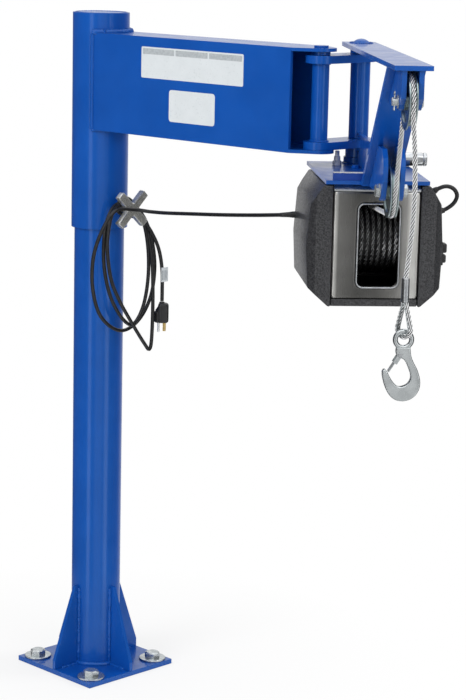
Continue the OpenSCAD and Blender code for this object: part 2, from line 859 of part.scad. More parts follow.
base_plate();
foot_gussets();
anchor_washers();
anchor_bolts();
mast_tube();
mast_top_pad();
sleeve_tube();
sleeve_cap();
boom_box();
knob_boss();
lock_knob();
boom_pin();
pin_washer();
lead_loops();
lead_span();
lead_plug();
lead_tag();
link_upper_plate();
link_lower_plate();
link_tube();
head_pin();
head_collar();
head_tube();
head_boss();
top_plate();
winch_plate();
head_web();
strut();
upper_ears();
lower_ears();
upper_axle();
lower_axle();
stop_bar();
index_plunger();
side_roller();
winch_cover();
winch_left_end();
winch_right_end();
winch_frame();
switch_lead();
upper_sheave();
lower_sheave();
winch_drum();
rope_run();
rope_fall();
rope_end();
hook();
hook_latch();
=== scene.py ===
# %% [markdown]
# # Jib crane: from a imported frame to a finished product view
# The frame holds every solid of the crane, already at its true size. Here each
# solid gets a finish, and the pieces that need softer or finer shapes than the
# solids have, such as cords, wire rope, welds and bent sheet, are modelled on it.

# %% Load the frame
import math
import random

import bmesh
import bpy
from mathutils import Matrix, Vector


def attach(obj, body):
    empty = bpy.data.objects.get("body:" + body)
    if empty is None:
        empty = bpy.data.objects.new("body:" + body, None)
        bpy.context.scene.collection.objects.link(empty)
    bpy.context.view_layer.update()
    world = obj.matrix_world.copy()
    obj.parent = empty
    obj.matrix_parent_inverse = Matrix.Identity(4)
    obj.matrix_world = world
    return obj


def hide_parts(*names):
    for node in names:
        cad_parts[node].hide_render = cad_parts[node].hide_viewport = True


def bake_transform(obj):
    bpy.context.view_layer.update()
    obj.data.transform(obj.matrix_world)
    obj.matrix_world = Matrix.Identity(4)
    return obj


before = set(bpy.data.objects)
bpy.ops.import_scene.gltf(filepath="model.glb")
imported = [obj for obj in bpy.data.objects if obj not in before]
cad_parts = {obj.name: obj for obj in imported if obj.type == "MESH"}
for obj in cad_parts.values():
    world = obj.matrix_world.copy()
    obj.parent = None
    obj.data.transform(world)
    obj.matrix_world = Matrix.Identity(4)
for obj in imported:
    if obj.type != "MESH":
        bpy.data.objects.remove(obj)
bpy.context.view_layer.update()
scene = bpy.context.scene
scene.view_settings.view_transform = "Standard"
print("solids in the frame:", len(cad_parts))

# %% [markdown]
# ## Three places to work in
# The boom, the link and the lifting head each stand at their own angle. A maker
# lays a part out square to the bench and then fits it, so each piece here is
# modelled square to its own carrier and then moved once into place.

# %% The carriers' places
BOOM_TURN = math.radians(3.0)
BOOM_REACH = 0.577
LINK_TURN = math.radians(3.0 + 86.6)
LINK_LENGTH = 0.108
HEAD_TURN = math.radians(3.0 + 86.6 - 129.7)

boom_pin = Vector((BOOM_REACH * math.cos(BOOM_TURN), BOOM_REACH * math.sin(BOOM_TURN), 0))
head_pin = boom_pin + LINK_LENGTH * Vector((math.cos(LINK_TURN), math.sin(LINK_TURN), 0))
ROW = Matrix.Identity(4)
BOOM = Matrix.Rotation(BOOM_TURN, 4, "Z")
LINK = Matrix.Translation(boom_pin) @ Matrix.Rotation(LINK_TURN, 4, "Z")
HEAD = Matrix.Translation(head_pin) @ Matrix.Rotation(HEAD_TURN, 4, "Z")
print("head pin at", [round(c, 4) for c in head_pin])

# %% [markdown]
# ## Camera
# A long lens from about four metres keeps the mast straight. It looks down a little,
# on the top of the floor plate, and sees the boom's side at a slant.

# %% Camera
CAMERA_PLACE = Vector((3.26579, -2.86457, 1.56386))
CAMERA_AZIMUTH = math.radians(135.062)
CAMERA_DIP = math.radians(11.470)
CAMERA_ROLL = math.radians(1.301)

ahead = Vector((
    math.cos(CAMERA_AZIMUTH) * math.cos(CAMERA_DIP),
    math.sin(CAMERA_AZIMUTH) * math.cos(CAMERA_DIP),
    -math.sin(CAMERA_DIP),
))
level = Vector((math.sin(CAMERA_AZIMUTH), -math.cos(CAMERA_AZIMUTH), 0))
above = level.cross(ahead)
right = level * math.cos(CAMERA_ROLL) + above * math.sin(CAMERA_ROLL)
up = above * math.cos(CAMERA_ROLL) - level * math.sin(CAMERA_ROLL)

camera_data = bpy.data.cameras.new("camera")
camera_data.sensor_fit = "VERTICAL"
camera_data.sensor_height = 24
camera_data.lens = 73.328
camera_data.clip_start = 0.05
camera_data.clip_end = 60
camera = bpy.data.objects.new("camera", camera_data)
camera.matrix_world = Matrix.Translation(CAMERA_PLACE) @ Matrix((right, up, -ahead)).transposed().to_4x4()
scene.collection.objects.link(camera)
scene.camera = camera
print("camera looks down by", round(math.degrees(CAMERA_DIP), 1), "degrees")

# %% [markdown]
# ## Finishes
# A finish is a small graph: a colour and a roughness that each vary a little, and a
# bump for the grain that a hand would feel. Every grain reads Object coordinates,
# so it has its true size in metres on every piece.

# %% Node helpers
def new_finish(name):
    finish = bpy.data.materials.new(name)
    finish.use_nodes = True
    nodes = finish.node_tree.nodes
    return finish, nodes, finish.node_tree.links, nodes["Principled BSDF"]


def grain(nodes, links, size, detail=3, stretch=(1, 1, 1)):
    """A noise whose spots are about size metres across."""
    lay = nodes.new("ShaderNodeMapping")
    lay.inputs["Scale"].default_value = stretch
    noise = nodes.new("ShaderNodeTexNoise")
    noise.inputs["Scale"].default_value = 1 / size
    noise.inputs["Detail"].default_value = detail
    links.new(object_place(nodes), lay.inputs["Vector"])
    links.new(lay.outputs["Vector"], noise.inputs["Vector"])
    return noise.outputs["Fac"]


def spread(nodes, links, factor, low, high, start=0.35, stop=0.65):
    """Maps a noise onto the range low to high."""
    span = nodes.new("ShaderNodeMapRange")
    span.inputs["From Min"].default_value = start
    span.inputs["From Max"].default_value = stop
    span.inputs["To Min"].default_value = low
    span.inputs["To Max"].default_value = high
    links.new(factor, span.inputs["Value"])
    return span.outputs["Result"]


def mix_colours(nodes, links, factor, a, b, way="MIX"):
    """Blends two colours. Each is three numbers or the output of another node, and so is the factor."""
    mix = nodes.new("ShaderNodeMix")
    mix.data_type = "RGBA"
    mix.blend_type = way
    for name, value in (("Factor", factor), ("A", a), ("B", b)):
        if isinstance(value, bpy.types.NodeSocket):
            links.new(value, mix.inputs[name])
        else:
            mix.inputs[name].default_value = value if name == "Factor" else (*value, 1)
    return mix.outputs["Result"]


def grey_ramp(nodes, links, factor, stops):
    """A ramp of greys from pairs of position and brightness."""
    ramp = nodes.new("ShaderNodeValToRGB")
    for k, (position, value) in enumerate(stops):
        stop = ramp.color_ramp.elements[k] if k < 2 else ramp.color_ramp.elements.new(position)
        stop.position = position
        stop.color = (value, value, value, 1)
    links.new(factor, ramp.inputs["Fac"])
    return ramp.outputs["Color"]


def object_place(nodes):
    """Where a point lies, in metres from the piece's origin."""
    return nodes.new("ShaderNodeTexCoord").outputs["Object"]


def swap_shader(nodes, links, share, usual, other):
    """The usual shader, with other in its place by the given share."""
    pick = nodes.new("ShaderNodeMixShader")
    for k, socket in enumerate((share, usual, other.outputs[0])):
        links.new(socket, pick.inputs[k])
    return pick.outputs[0]


def emboss(nodes, links, shader, height, depth, strength=1.0, edge=0.0):
    """Bump of a given depth in metres. With an edge radius, sharp corners shade as if rounded."""
    bump = nodes.new("ShaderNodeBump")
    if edge:
        rounding = nodes.new("ShaderNodeBevel")
        rounding.samples = 4
        rounding.inputs["Radius"].default_value = edge
        links.new(rounding.outputs["Normal"], bump.inputs["Normal"])
    bump.inputs["Strength"].default_value = strength
    bump.inputs["Distance"].default_value = depth
    links.new(height, bump.inputs["Height"])
    links.new(bump.outputs["Normal"], shader.inputs["Normal"])


# %% [markdown]
# ### Blue powder coat
# Powder coat is baked paint: even in colour, glossy, with a faint orange peel. It
# could be one flat shader, but then wide faces such as the boom look like plastic,
# so the gloss is a clear coat over the colour and the peel is a shallow bump.

# %% Blue powder coat
def make_powder_coat():
    finish, nodes, links, shader = new_finish("blue_powder_coat")
    patches = spread(nodes, links, grain(nodes, links, 0.09), 0, 1)
    links.new(mix_colours(nodes, links, patches, (0.0022, 0.062, 0.330), (0.0035, 0.072, 0.370)),
              shader.inputs["Base Color"])
    links.new(spread(nodes, links, grain(nodes, links, 0.03), 0.30, 0.40), shader.inputs["Roughness"])
    shader.inputs["Specular Tint"].default_value = (0.30, 0.75, 1.0, 1)
    shader.inputs["Coat Weight"].default_value = 0.38
    shader.inputs["Coat Roughness"].default_value = 0.07
    emboss(nodes, links, shader, grain(nodes, links, 0.0042, 1), 0.00014, 0.7, edge=0.0014)
    return finish


powder_coat = make_powder_coat()

# %% [markdown]
# ### Metals
# Zinc plate is bright with cloudy patches, brushed stainless has fine upright
# lines, and a plated casting is rough and sandy. Each could have its own graph,
# but one maker with a few sizes serves all, and three painted shades are laid over
# it: painted shade in the rope's grooves, a painted shadow on the drum's lower
# turns and a painted reflection across the cover sheet.

# %% Metals: the painted shades laid over a finish
# Colours of painted light: the first is painted shade in the rope's grooves, the second the black of a
# painted shadow on the drum's lower turns.
GROOVE_SHADE, DRUM_SHADOW_BLACK = (0.040, 0.040, 0.042), (0.004, 0.004, 0.004)
# The painted reflection on the cover sheet: its half width, and its greys from one edge to the other, bright
# at the edges and darker across the middle.
HALF_SHEET = 0.080
PAINTED_SHEET_REFLECTION = ((0.0, 1.0), (0.04, 0.95), (0.075, 0.30), (0.3, 0.17), (0.5, 0.19), (0.72, 0.34), (0.83, 0.52),
             (0.88, 1.0), (0.94, 1.0), (0.985, 0.35))


def colour_of(finish):
    """The graph of a finish and the input that takes its colour."""
    tree = finish.node_tree
    return tree.nodes, tree.links, tree.nodes["Principled BSDF"].inputs["Base Color"]


def shade_grooves(finish):
    """Painted shade: darkens what lies deep between the strands, from the mesh's groove attribute."""
    nodes, links, colour = colour_of(finish)
    groove = nodes.new("ShaderNodeAttribute")
    groove.attribute_name = "groove"
    height = spread(nodes, links, groove.outputs["Fac"], 1.0, 0.0, 0.40, 0.80)
    links.new(mix_colours(nodes, links, height, GROOVE_SHADE, colour.links[0].from_socket), colour)


def shade_below(finish, black, clear):
    """Painted shadow: fades the colour to near black between two heights."""
    nodes, links, colour = colour_of(finish)
    parts = nodes.new("ShaderNodeSeparateXYZ")
    links.new(object_place(nodes), parts.inputs[0])
    fade = spread(nodes, links, parts.outputs["Z"], 0.0, 1.0, black, clear)
    links.new(mix_colours(nodes, links, fade, DRUM_SHADOW_BLACK, colour.links[0].from_socket), colour)


def paint_sheet_reflection(finish):
    """Painted reflection across the flat sheet: a ramp of greys multiplies the colour, so it seems to mirror
    less on one side of the window and more on the other.
    """
    nodes, links, colour = colour_of(finish)
    across = HEAD.to_3x3() @ Vector((0, 1, 0))
    middle = HEAD.translation.dot(across)
    along = nodes.new("ShaderNodeVectorMath")
    along.operation = "DOT_PRODUCT"
    along.inputs[1].default_value = across
    links.new(object_place(nodes), along.inputs[0])
    span = spread(nodes, links, along.outputs["Value"], 0, 1, middle - HALF_SHEET, middle + HALF_SHEET)
    bow = grey_ramp(nodes, links, span, PAINTED_SHEET_REFLECTION)
    links.new(mix_colours(nodes, links, 1.0, colour.links[0].from_socket, bow, "MULTIPLY"), colour)


# %% Metals: the maker
def make_metal(name, dark, light, rough, cloud, scratch=(1, 1, 1), depth=0.00002, fine=0.0012, metal=1.0):
    """cloud and fine are the sizes of the patches and the grain, and depth is the grain's, in metres."""
    finish, nodes, links, shader = new_finish(name)
    shader.inputs["Metallic"].default_value = metal
    clouds = spread(nodes, links, grain(nodes, links, cloud, 4), 0, 1)
    links.new(mix_colours(nodes, links, clouds, dark, light), shader.inputs["Base Color"])
    fine_grain = grain(nodes, links, fine, 2, scratch)
    links.new(spread(nodes, links, fine_grain, rough - 0.06, rough + 0.08), shader.inputs["Roughness"])
    emboss(nodes, links, shader, fine_grain, depth, 0.5)
    return finish


# %% Metals: the finishes
zinc = make_metal("zinc_plate", (0.42, 0.45, 0.46), (0.60, 0.635, 0.645), 0.24, 0.012, metal=0.85)
# A much lighter, less metallic copy of the zinc plate: painted light, so small plated pieces in shade still
# read bright.
zinc_painted_bright = make_metal("zinc_painted_bright", (0.80, 0.82, 0.83), (0.92, 0.94, 0.95), 0.3, 0.012, metal=0.25)
forged_zinc = make_metal("forged_zinc", (0.50, 0.53, 0.54), (0.60, 0.635, 0.645), 0.17, 0.02, metal=0.95)
stainless = make_metal("brushed_stainless", (0.62, 0.615, 0.59), (0.74, 0.735, 0.71), 0.32, 0.05,
                       scratch=(1, 1, 0.02), depth=0.00003)
# A painted reflection across the cover sheet.
paint_sheet_reflection(stainless)
polished_steel = make_metal("polished_steel", (0.40, 0.42, 0.44), (0.52, 0.54, 0.56), 0.12, 0.02)
bare_steel = make_metal("machined_steel", (0.42, 0.44, 0.46), (0.58, 0.60, 0.62), 0.32, 0.02)
wheel_steel = make_metal("sheave_zinc", (0.30, 0.38, 0.39), (0.46, 0.54, 0.55), 0.30, 0.02)
dark_steel = make_metal("frame_steel", (0.008, 0.008, 0.009), (0.016, 0.016, 0.017), 0.55, 0.02, metal=0.2)
wire = make_metal("wire_rope_steel", (0.82, 0.83, 0.84), (0.92, 0.93, 0.94), 0.30, 0.004, fine=0.0006,
                  metal=0.35)
# Painted shade in the grooves between the strands.
shade_grooves(wire)
greasy_wire = make_metal("greased_wire_rope", (0.35, 0.36, 0.37), (0.95, 0.96, 0.97), 0.28, 0.014,
                         fine=0.0006, metal=0.5)
# Painted shade in the grooves, and a painted shadow over the lower turns on the drum.
shade_grooves(greasy_wire)
shade_below(greasy_wire, 0.945, 0.975)
brass = make_metal("blade_brass", (0.60, 0.43, 0.17), (0.74, 0.55, 0.25), 0.3, 0.004)
cast_grey = make_metal("cast_grey", (0.46, 0.46, 0.43), (0.66, 0.66, 0.62), 0.30, 0.012, fine=0.0016,
                       depth=0.00008, metal=0.75)
print("paint and metals:", len(bpy.data.materials))

# %% [markdown]
# ### Moulded, textured and printed finishes
# These aren't metals to the eye: the light scatters from them, and what tells one
# from another is how coarse the skin is and how much it shines.

# %% Moulded, textured and printed finishes
def make_skin(name, dark, light, rough, cloud, pit, depth, coat=0.0):
    """cloud and pit are the sizes of the patches and the texture, and depth is the texture's, in metres."""
    finish, nodes, links, shader = new_finish(name)
    clouds = spread(nodes, links, grain(nodes, links, cloud, 3), 0, 1)
    links.new(mix_colours(nodes, links, clouds, dark, light), shader.inputs["Base Color"])
    links.new(spread(nodes, links, grain(nodes, links, pit * 2, 2), rough - 0.07, rough + 0.07),
              shader.inputs["Roughness"])
    shader.inputs["Coat Weight"].default_value = coat
    emboss(nodes, links, shader, grain(nodes, links, pit, 2), depth, 0.8)
    return finish


black_housing = make_skin("textured_black", (0.006, 0.006, 0.008), (0.050, 0.051, 0.055), 0.40, 0.0026,
                          0.0022, 0.00055, 0.15)
smooth_black = make_skin("moulded_black", (0.012, 0.012, 0.013), (0.020, 0.020, 0.022), 0.36, 0.02,
                         0.0008, 0.00004)
lead_rubber = make_skin("lead_rubber", (0.008, 0.008, 0.009), (0.014, 0.014, 0.015), 0.38, 0.01,
                        0.0008, 0.00003)
pad_plastic = make_skin("pad_plastic", (0.62, 0.62, 0.58), (0.74, 0.74, 0.70), 0.5, 0.02, 0.001, 0.00005)
white_film = make_skin("white_film", (0.60, 0.635, 0.655), (0.625, 0.66, 0.68), 0.34, 0.02, 0.002, 0.00002)
grey_print = make_skin("grey_print", (0.33, 0.36, 0.38), (0.42, 0.45, 0.47), 0.4, 0.004, 0.002, 0.00002)
stop_blue = make_skin("stop_blue", (0.002, 0.038, 0.26), (0.003, 0.050, 0.32), 0.5, 0.02, 0.001, 0.00006)
print("finishes made:", len(bpy.data.materials))

# %% [markdown]
# ## Dress the solids
# Every solid of the frame gets one finish. Only the finish is changed: the meshes
# stay exactly as the frame brought them.

# %% Dress the solids
DRESS = {
    "base_plate foot_gussets mast_tube sleeve_tube sleeve_cap boom_box knob_boss": powder_coat,
    "link_upper_plate link_lower_plate link_tube head_pin head_collar head_tube head_boss": powder_coat,
    "top_plate winch_plate head_web strut upper_ears lower_ears boom_pin pin_washer": powder_coat,
    "anchor_washers anchor_bolts upper_axle lower_axle": zinc,
    "index_plunger side_roller rope_end hook hook_latch": zinc,
    "upper_sheave lower_sheave": wheel_steel,
    "winch_drum winch_frame": dark_steel,
    "winch_cover": stainless,
    "winch_left_end winch_right_end": black_housing,
    "lock_knob": cast_grey,
    "mast_top_pad": pad_plastic,
    "lead_loops lead_span lead_plug switch_lead": lead_rubber,
    "lead_tag": white_film,
    "stop_bar": stop_blue,
    "rope_run rope_fall": wire,
}
for names, finish in DRESS.items():
    for name in names.split():
        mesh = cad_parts[name].data
        mesh.materials.clear()
        mesh.materials.append(finish)
print("solids dressed:", sum(len(names.split()) for names in DRESS))

# %% [markdown]
# ## From a bmesh to a piece
# Each new piece is drawn in its carrier's own place, moved once, closed, and made
# to ride on its body. Edges sharper than its crease angle stay crisp.

# %% From a bmesh to a piece
def make_piece(name, bm, place, body, finish, crease=30):
    bmesh.ops.remove_doubles(bm, verts=bm.verts, dist=1e-6)
    bm.transform(place)
    bmesh.ops.recalc_face_normals(bm, faces=bm.faces)
    mesh = bpy.data.meshes.new(name)
    bm.to_mesh(mesh)
    bm.free()
    mesh.materials.append(finish)
    mesh.shade_smooth()
    mesh.set_sharp_from_angle(angle=math.radians(crease))
    piece = bpy.data.objects.new(name, mesh)
    scene.collection.objects.link(piece)
    if body:
        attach(piece, body)
    return piece


def mm(*values):
    """Millimetres to a vector in metres."""
    return Vector(values) / 1000


# %% [markdown]
# ## Small modelling helpers
# An operator gives back everything it made in one list, so three helpers pick out
# points and edges. Two more do what a bench does most: they give a flat shape its
# thickness and round its edges.

# %% Modelling helpers
def points_of(geom):
    """The points among what an operator made."""
    return [g for g in geom if isinstance(g, bmesh.types.BMVert)]


def edges_at(points):
    """Every edge that meets one of the points."""
    return list({e for v in points for e in v.link_edges})


def end_rims(edges):
    """The edges round the ends, which are the faces with more than four corners."""
    return [e for e in edges if any(len(f.verts) > 4 for f in e.link_faces)]


def thicken(bm, faces, vec):
    """Extrudes flat faces along vec."""
    grown = bmesh.ops.extrude_face_region(bm, geom=faces)["geom"]
    bmesh.ops.translate(bm, verts=points_of(grown), vec=vec)


def round_off(bm, geom, offset, segments, affect="EDGES"):
    """Rounds edges, or with affect VERTICES the corners of a flat face."""
    bmesh.ops.bevel(bm, geom=geom, offset=offset, offset_type="OFFSET", segments=segments, profile=0.5,
                    affect=affect, clamp_overlap=True, material=-1)


# %% [markdown]
# ## Sweep: cords, rope and weld beads
# A cord is a round section carried along a line. Blender's curves can do it, but a
# swept bmesh also takes lobes and a twist, which wire rope needs, and ripples,
# which a weld bead needs. Each ring is the last one extruded and moved on.

# %% Sweep
def smooth_line(points, steps):
    """Catmull-Rom curve through points."""
    line = []
    for i in range(len(points) - 1):
        a, b = points[max(i - 1, 0)], points[i]
        c, d = points[i + 1], points[min(i + 2, len(points) - 1)]
        for k in range(steps):
            t = k / steps
            line.append(0.5 * (2 * b + (c - a) * t + (2 * a - 5 * b + 4 * c - d) * t * t
                               + (3 * b - a - 3 * c + d) * t ** 3))
    return line + [points[-1].copy()]


def line_length(line):
    return sum((b - a).length for a, b in zip(line, line[1:]))


def even_line(line, step):
    """The same line with its points about step apart."""
    count = max(2, round(line_length(line) / step))
    step = line_length(line) / count
    out, left, here = [line[0].copy()], step, line[0]
    for after in line[1:]:
        while (after - here).length >= left - 1e-9 and len(out) < count:
            here = here + (after - here).normalized() * left
            out.append(here.copy())
            left = step
        left -= (after - here).length
        here = after
    out.append(line[-1].copy())
    return out


def ring_frames(line, closed=False, side=None):
    """A turning-free frame at each point, Z along the line, X towards side at the start."""
    frames = []
    for i, point in enumerate(line):
        before = line[i - 1] if i or closed else line[0]
        after = line[(i + 1) % len(line)] if closed or i + 1 < len(line) else line[-1]
        heading = (after - before).normalized()
        if side is None:
            side = heading.orthogonal()
        side = (side - heading * side.dot(heading)).normalized()
        frames.append(Matrix.Translation(point)
                      @ Matrix((side, heading.cross(side), heading)).transposed().to_4x4())
    return frames


def sweep(bm, line, radius, sides=12, lobes=0.0, twist=0.0, swell=None, closed=False, side=None, flat=1.0):
    """Carries a round section along line. lobes pulls every second vertex in, twist is turns a metre,
    swell(i) scales ring i, and flat presses the section along side. The groove attribute marks the
    pulled-in vertices for the finish."""
    frames = ring_frames(line, closed, side)
    groove = bm.verts.layers.float.get("groove") or bm.verts.layers.float.new("groove")
    start = bmesh.ops.create_circle(bm, segments=sides, radius=radius)["verts"]
    bmesh.ops.scale(bm, verts=start, vec=(flat, 1, 1))
    for k, vertex in enumerate(start):
        vertex.co *= 1 - lobes * (k % 2)
        vertex[groove] = k % 2 if lobes else 0.0
    size = swell(0) if swell else 1.0
    now = frames[0] @ Matrix.Scale(size, 4)
    bmesh.ops.transform(bm, matrix=now, verts=start)
    edges = edges_at(start)
    first, travelled = edges, 0.0
    for i in range(1, len(line)):
        grown = bmesh.ops.extrude_edge_only(bm, edges=edges)["geom"]
        verts = points_of(grown)
        travelled += (line[i] - line[i - 1]).length
        size = swell(i) if swell else 1.0
        then = frames[i] @ Matrix.Rotation(math.tau * twist * travelled, 4, "Z") @ Matrix.Scale(size, 4)
        bmesh.ops.transform(bm, matrix=then @ now.inverted(), verts=verts)
        chosen = set(verts)
        edges = [g for g in grown if isinstance(g, bmesh.types.BMEdge)
                 and g.verts[0] in chosen and g.verts[1] in chosen]
        now = then
    if closed:
        bmesh.ops.bridge_loops(bm, edges=first + edges)
    else:
        for rim in (first, edges):
            bmesh.ops.contextual_create(bm, geom=rim)
    return bm


# %% [markdown]
# ## Power lead
# The lead leaves the winch through a gland, sags across to the mast, is wound in
# loops over the lock knob and ends in a plug. It is one length of flexible lead,
# so the modelled line is its real length. It crosses two joints, so it is made in
# two runs, and the second starts where the first ends.

# %% Power lead: route
LEAD = 0.0075
LEAD_EXIT = mm(536.1, 13.4, 1020)
SPAN = [LEAD_EXIT, mm(527.1, 2.7, 1019.6), mm(512, -4, 1018), mm(440, 0, 1009), mm(350, 5, 999),
        mm(260, 12, 990), mm(180, 20, 982), mm(140, 24, 979), mm(124, 20, 979)]
LOOPS = """112 6 980.5, 107 -14 983, 106 -36 986, 102 -58 982, 95 -78 955, 88 -94 915, 84 -100 875,
82 -96 825, 80 -76 775, 80 -40 742, 80 0 732, 80 42 752, 80 72 795, 80 82 855, 77 74 915, 72 56 958,
69 30 984, 69 2 993.5, 70 -28 986, 78 -56 958, 88 -73 915, 92 -74 865, 92 -56 808, 92 -24 762, 92 8 744,
92 36 775, 92 50 830, 90 52 890, 83 46 945, 77 26 981, 77 2 993.5, 76 -24 986, 84 -50 966, 98 -73 915,
106 -70 850, 106 -44 800, 106 -8 750, 106 28 704, 106 44 690, 106 50 724, 104 53 810, 98 54 880,
84 52 940, 76 34 978, 74 6 1001, 72 -14 996, 70 -18 978, 72 0 966, 77 24 962, 84 46 950, 96 60 922,
104 70 890, 108 75 850, 108 76 815, 108 76 787"""
loop_points = [BOOM @ mm(*map(float, p.split())) for p in LOOPS.replace("\n", " ").split(",")]
SPLIT = 3
winch_run = smooth_line(SPAN[:SPLIT + 2], 12)
winch_run = winch_run[:12 * SPLIT + 1]
mast_run = smooth_line(SPAN[SPLIT - 1:] + loop_points, 6)[6:]
print("lead:", round(line_length(winch_run) + line_length(mast_run), 3), "m")

# %% Power lead: the two runs
def make_lead(name, line):
    line = even_line(line, 0.004)
    piece = make_piece(name, sweep(bmesh.new(), line, LEAD / 2, 12), ROW, None, lead_rubber,
                       60)
    return piece, line


winch_lead, winch_line = make_lead("winch_lead", winch_run)
mast_lead, mast_line = make_lead("mast_lead", mast_run)
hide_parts("lead_span")
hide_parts("lead_loops")
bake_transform(winch_lead)
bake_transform(mast_lead)

# %% [markdown]
# ### Plug and tag
# The plug is a moulded body with a ribbed collar, two flat blades and an earth pin.
# A paper tag hangs on the lead above it, with three plain stripes. Rounded blocks
# and drums are enough for all of it, so the two helpers for them come first.

# %% Blocks and drums
def add_block(bm, size, centre, round_by=0.0, segments=2):
    """A cuboid with its edges rounded."""
    made = bmesh.ops.create_cube(bm, size=1, matrix=Matrix.Translation(centre)
                                 @ Matrix.Diagonal((*size, 1)))["verts"]
    if round_by:
        round_off(bm, edges_at(made), round_by, segments)


def add_drum(bm, low, high, r_low, r_high=None, sides=48, round_by=0.0):
    """A round bar or cone between two points."""
    axis = high - low
    turn = Vector((0, 0, 1)).rotation_difference(axis.normalized()).to_matrix().to_4x4()
    made = bmesh.ops.create_cone(
        bm, segments=sides, radius1=r_low, radius2=r_low if r_high is None else r_high,
        depth=axis.length, cap_ends=True, matrix=Matrix.Translation((low + high) / 2) @ turn)["verts"]
    if round_by:
        round_off(bm, end_rims(edges_at(made)), round_by, 3)


# %% Plug
PLUG = BOOM @ Matrix.Translation(mm(108, 76, 724)) @ Matrix.Rotation(math.radians(-48), 4, "Z")
bm = bmesh.new()
add_block(bm, mm(20, 22, 42), mm(0, 3, 38), 0.006, 3)
add_block(bm, mm(17, 16, 26), mm(0, -9, 30), 0.007, 3)
add_drum(bm, mm(0, -6, 40), mm(0, 0, 54), 0.0085, 0.0055, 24, 0.001)
for z in (50, 54, 58):
    add_drum(bm, mm(0, 0, z), mm(0, 0, z + 2.4), 0.0058, round_by=0.0006, sides=24)
add_drum(bm, mm(0, 0, 46), mm(0, 0, 61.4), 0.0046, sides=24)
add_block(bm, mm(19, 10, 20), mm(0, 3, 33), 0.002)
plug = make_piece("plug_body", bm, PLUG, "jib", smooth_black)

bm = bmesh.new()
for x in (-6.35, 6.35):
    add_block(bm, mm(1.6, 6.4, 18), mm(x, 5.5, 10), 0.0005)
blades = make_piece("plug_blades", bm, PLUG, "jib", brass)
bm = bmesh.new()
add_drum(bm, mm(0, -6.4, -2), mm(0, -6.4, 20), 0.0026, sides=24, round_by=0.0012)
earth_pin = make_piece("plug_earth_pin", bm, PLUG, "jib", zinc_painted_bright)
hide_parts("lead_plug")
print("plug body, blades and earth pin made")

# %% Tag
bm = bmesh.new()
add_block(bm, mm(0.5, 20, 30), mm(112.4, 78, 842), 0.00015, 1)
tag = make_piece("lead_tag_paper", bm, BOOM, "jib", white_film)
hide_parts("lead_tag")
bm = bmesh.new()
for y, width in ((72, 5), (79, 4), (84, 3)):
    add_block(bm, mm(0.1, width, 20), mm(112.72, y, 841), 0)
tag_print = make_piece("lead_tag_stripes", bm, BOOM, "jib", grey_print)

# %% [markdown]
# ### Glands
# Where a lead enters a housing a moulded gland grips it: a hexagonal nut, a
# domed grip and a short taper. The power lead also gets a long taper, swept along
# the lead itself, that keeps it from kinking.

# %% Glands
def make_gland(name, root, towards, place, body, reach=0.013):
    """A gland that stands at root, points towards another point and is reach long."""
    bm = bmesh.new()
    way = (towards - root).normalized()
    add_drum(bm, root - way * 0.004, root + way * reach * 0.35, 0.0068, sides=6)
    add_drum(bm, root + way * reach * 0.35, root + way * reach * 0.7, 0.0058, 0.0054, 24, 0.0006)
    add_drum(bm, root + way * reach * 0.7, root + way * reach, 0.0050, 0.0042, 24, 0.0005)
    return make_piece(name, bm, place, body, smooth_black)


make_gland("winch_gland", LEAD_EXIT, SPAN[1], ROW, "head")
relief = sweep(bmesh.new(), winch_line[:8], LEAD / 2, 24, swell=lambda i: 1.50 - 0.06 * i)
make_piece("lead_strain_relief", relief, ROW, "head", smooth_black)
print("strain relief:", round(line_length(winch_line[:8]) * 1000), "mm along the lead")

# %% [markdown]
# ### Switch lead
# A short lead loops from the top of the right end housing down to its outer side.
# It is swept like the power lead, on a smooth curve through nine points.

# %% Switch lead
SWITCH = Matrix.Translation(mm(212, 0, 0))
SWITCH_POINTS = [mm(0, 107.4, 1085.7), mm(1, 115, 1091), mm(3, 131, 1097), mm(4, 145, 1093), mm(4, 152, 1081),
                 mm(3, 147, 1067), mm(1, 134, 1056), mm(0, 124, 1052.5), mm(0, 119.5, 1052)]
switch_line = even_line(smooth_line([HEAD @ SWITCH @ p for p in SWITCH_POINTS], 8), 0.003)
switch_lead = make_piece("switch_lead_run", sweep(bmesh.new(), switch_line, LEAD / 2, 12), ROW, "head",
                         lead_rubber, 60)
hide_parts("switch_lead")
make_gland("switch_gland_top", SWITCH_POINTS[0], SWITCH_POINTS[1], HEAD @ SWITCH, "head", 0.012)
make_gland("switch_gland_side", SWITCH_POINTS[-1], SWITCH_POINTS[-2], HEAD @ SWITCH, "head", 0.012)
print("switch lead:", round(line_length(switch_line), 3), "m")

# %% [markdown]
# ## Hoist rope
# Wire rope is strands laid in a spiral. A smooth bar with a painted spiral would do
# from afar, but the lobes catch the light one by one, so the section has five
# lobes. They are coarser than real strands, to read as strands from afar.

# %% Hoist rope: sizes and route
ROPE = 0.0064
ROPE_LAY = 0.038
ROPE_TURNS = 1 / ROPE_LAY
DRUM_U, DRUM_Z, WOUND = 0.150, 0.990, 0.124
LOWER_U, LOWER_Z, UPPER_U, UPPER_Z = 0.420, 1.1135, 0.575, 1.2775
PITCH = 0.0425
FALL_U = UPPER_U + PITCH
FERRULE_Z = 0.998
HANG = -0.002


def arc(u, z, radius, start, stop, steps):
    """Points on an upright arc in the head's place, angles in degrees."""
    out = []
    for k in range(steps + 1):
        a = math.radians(start + (stop - start) * k / steps)
        out.append(Vector((u + radius * math.cos(a), 0, z + radius * math.sin(a))))
    return out


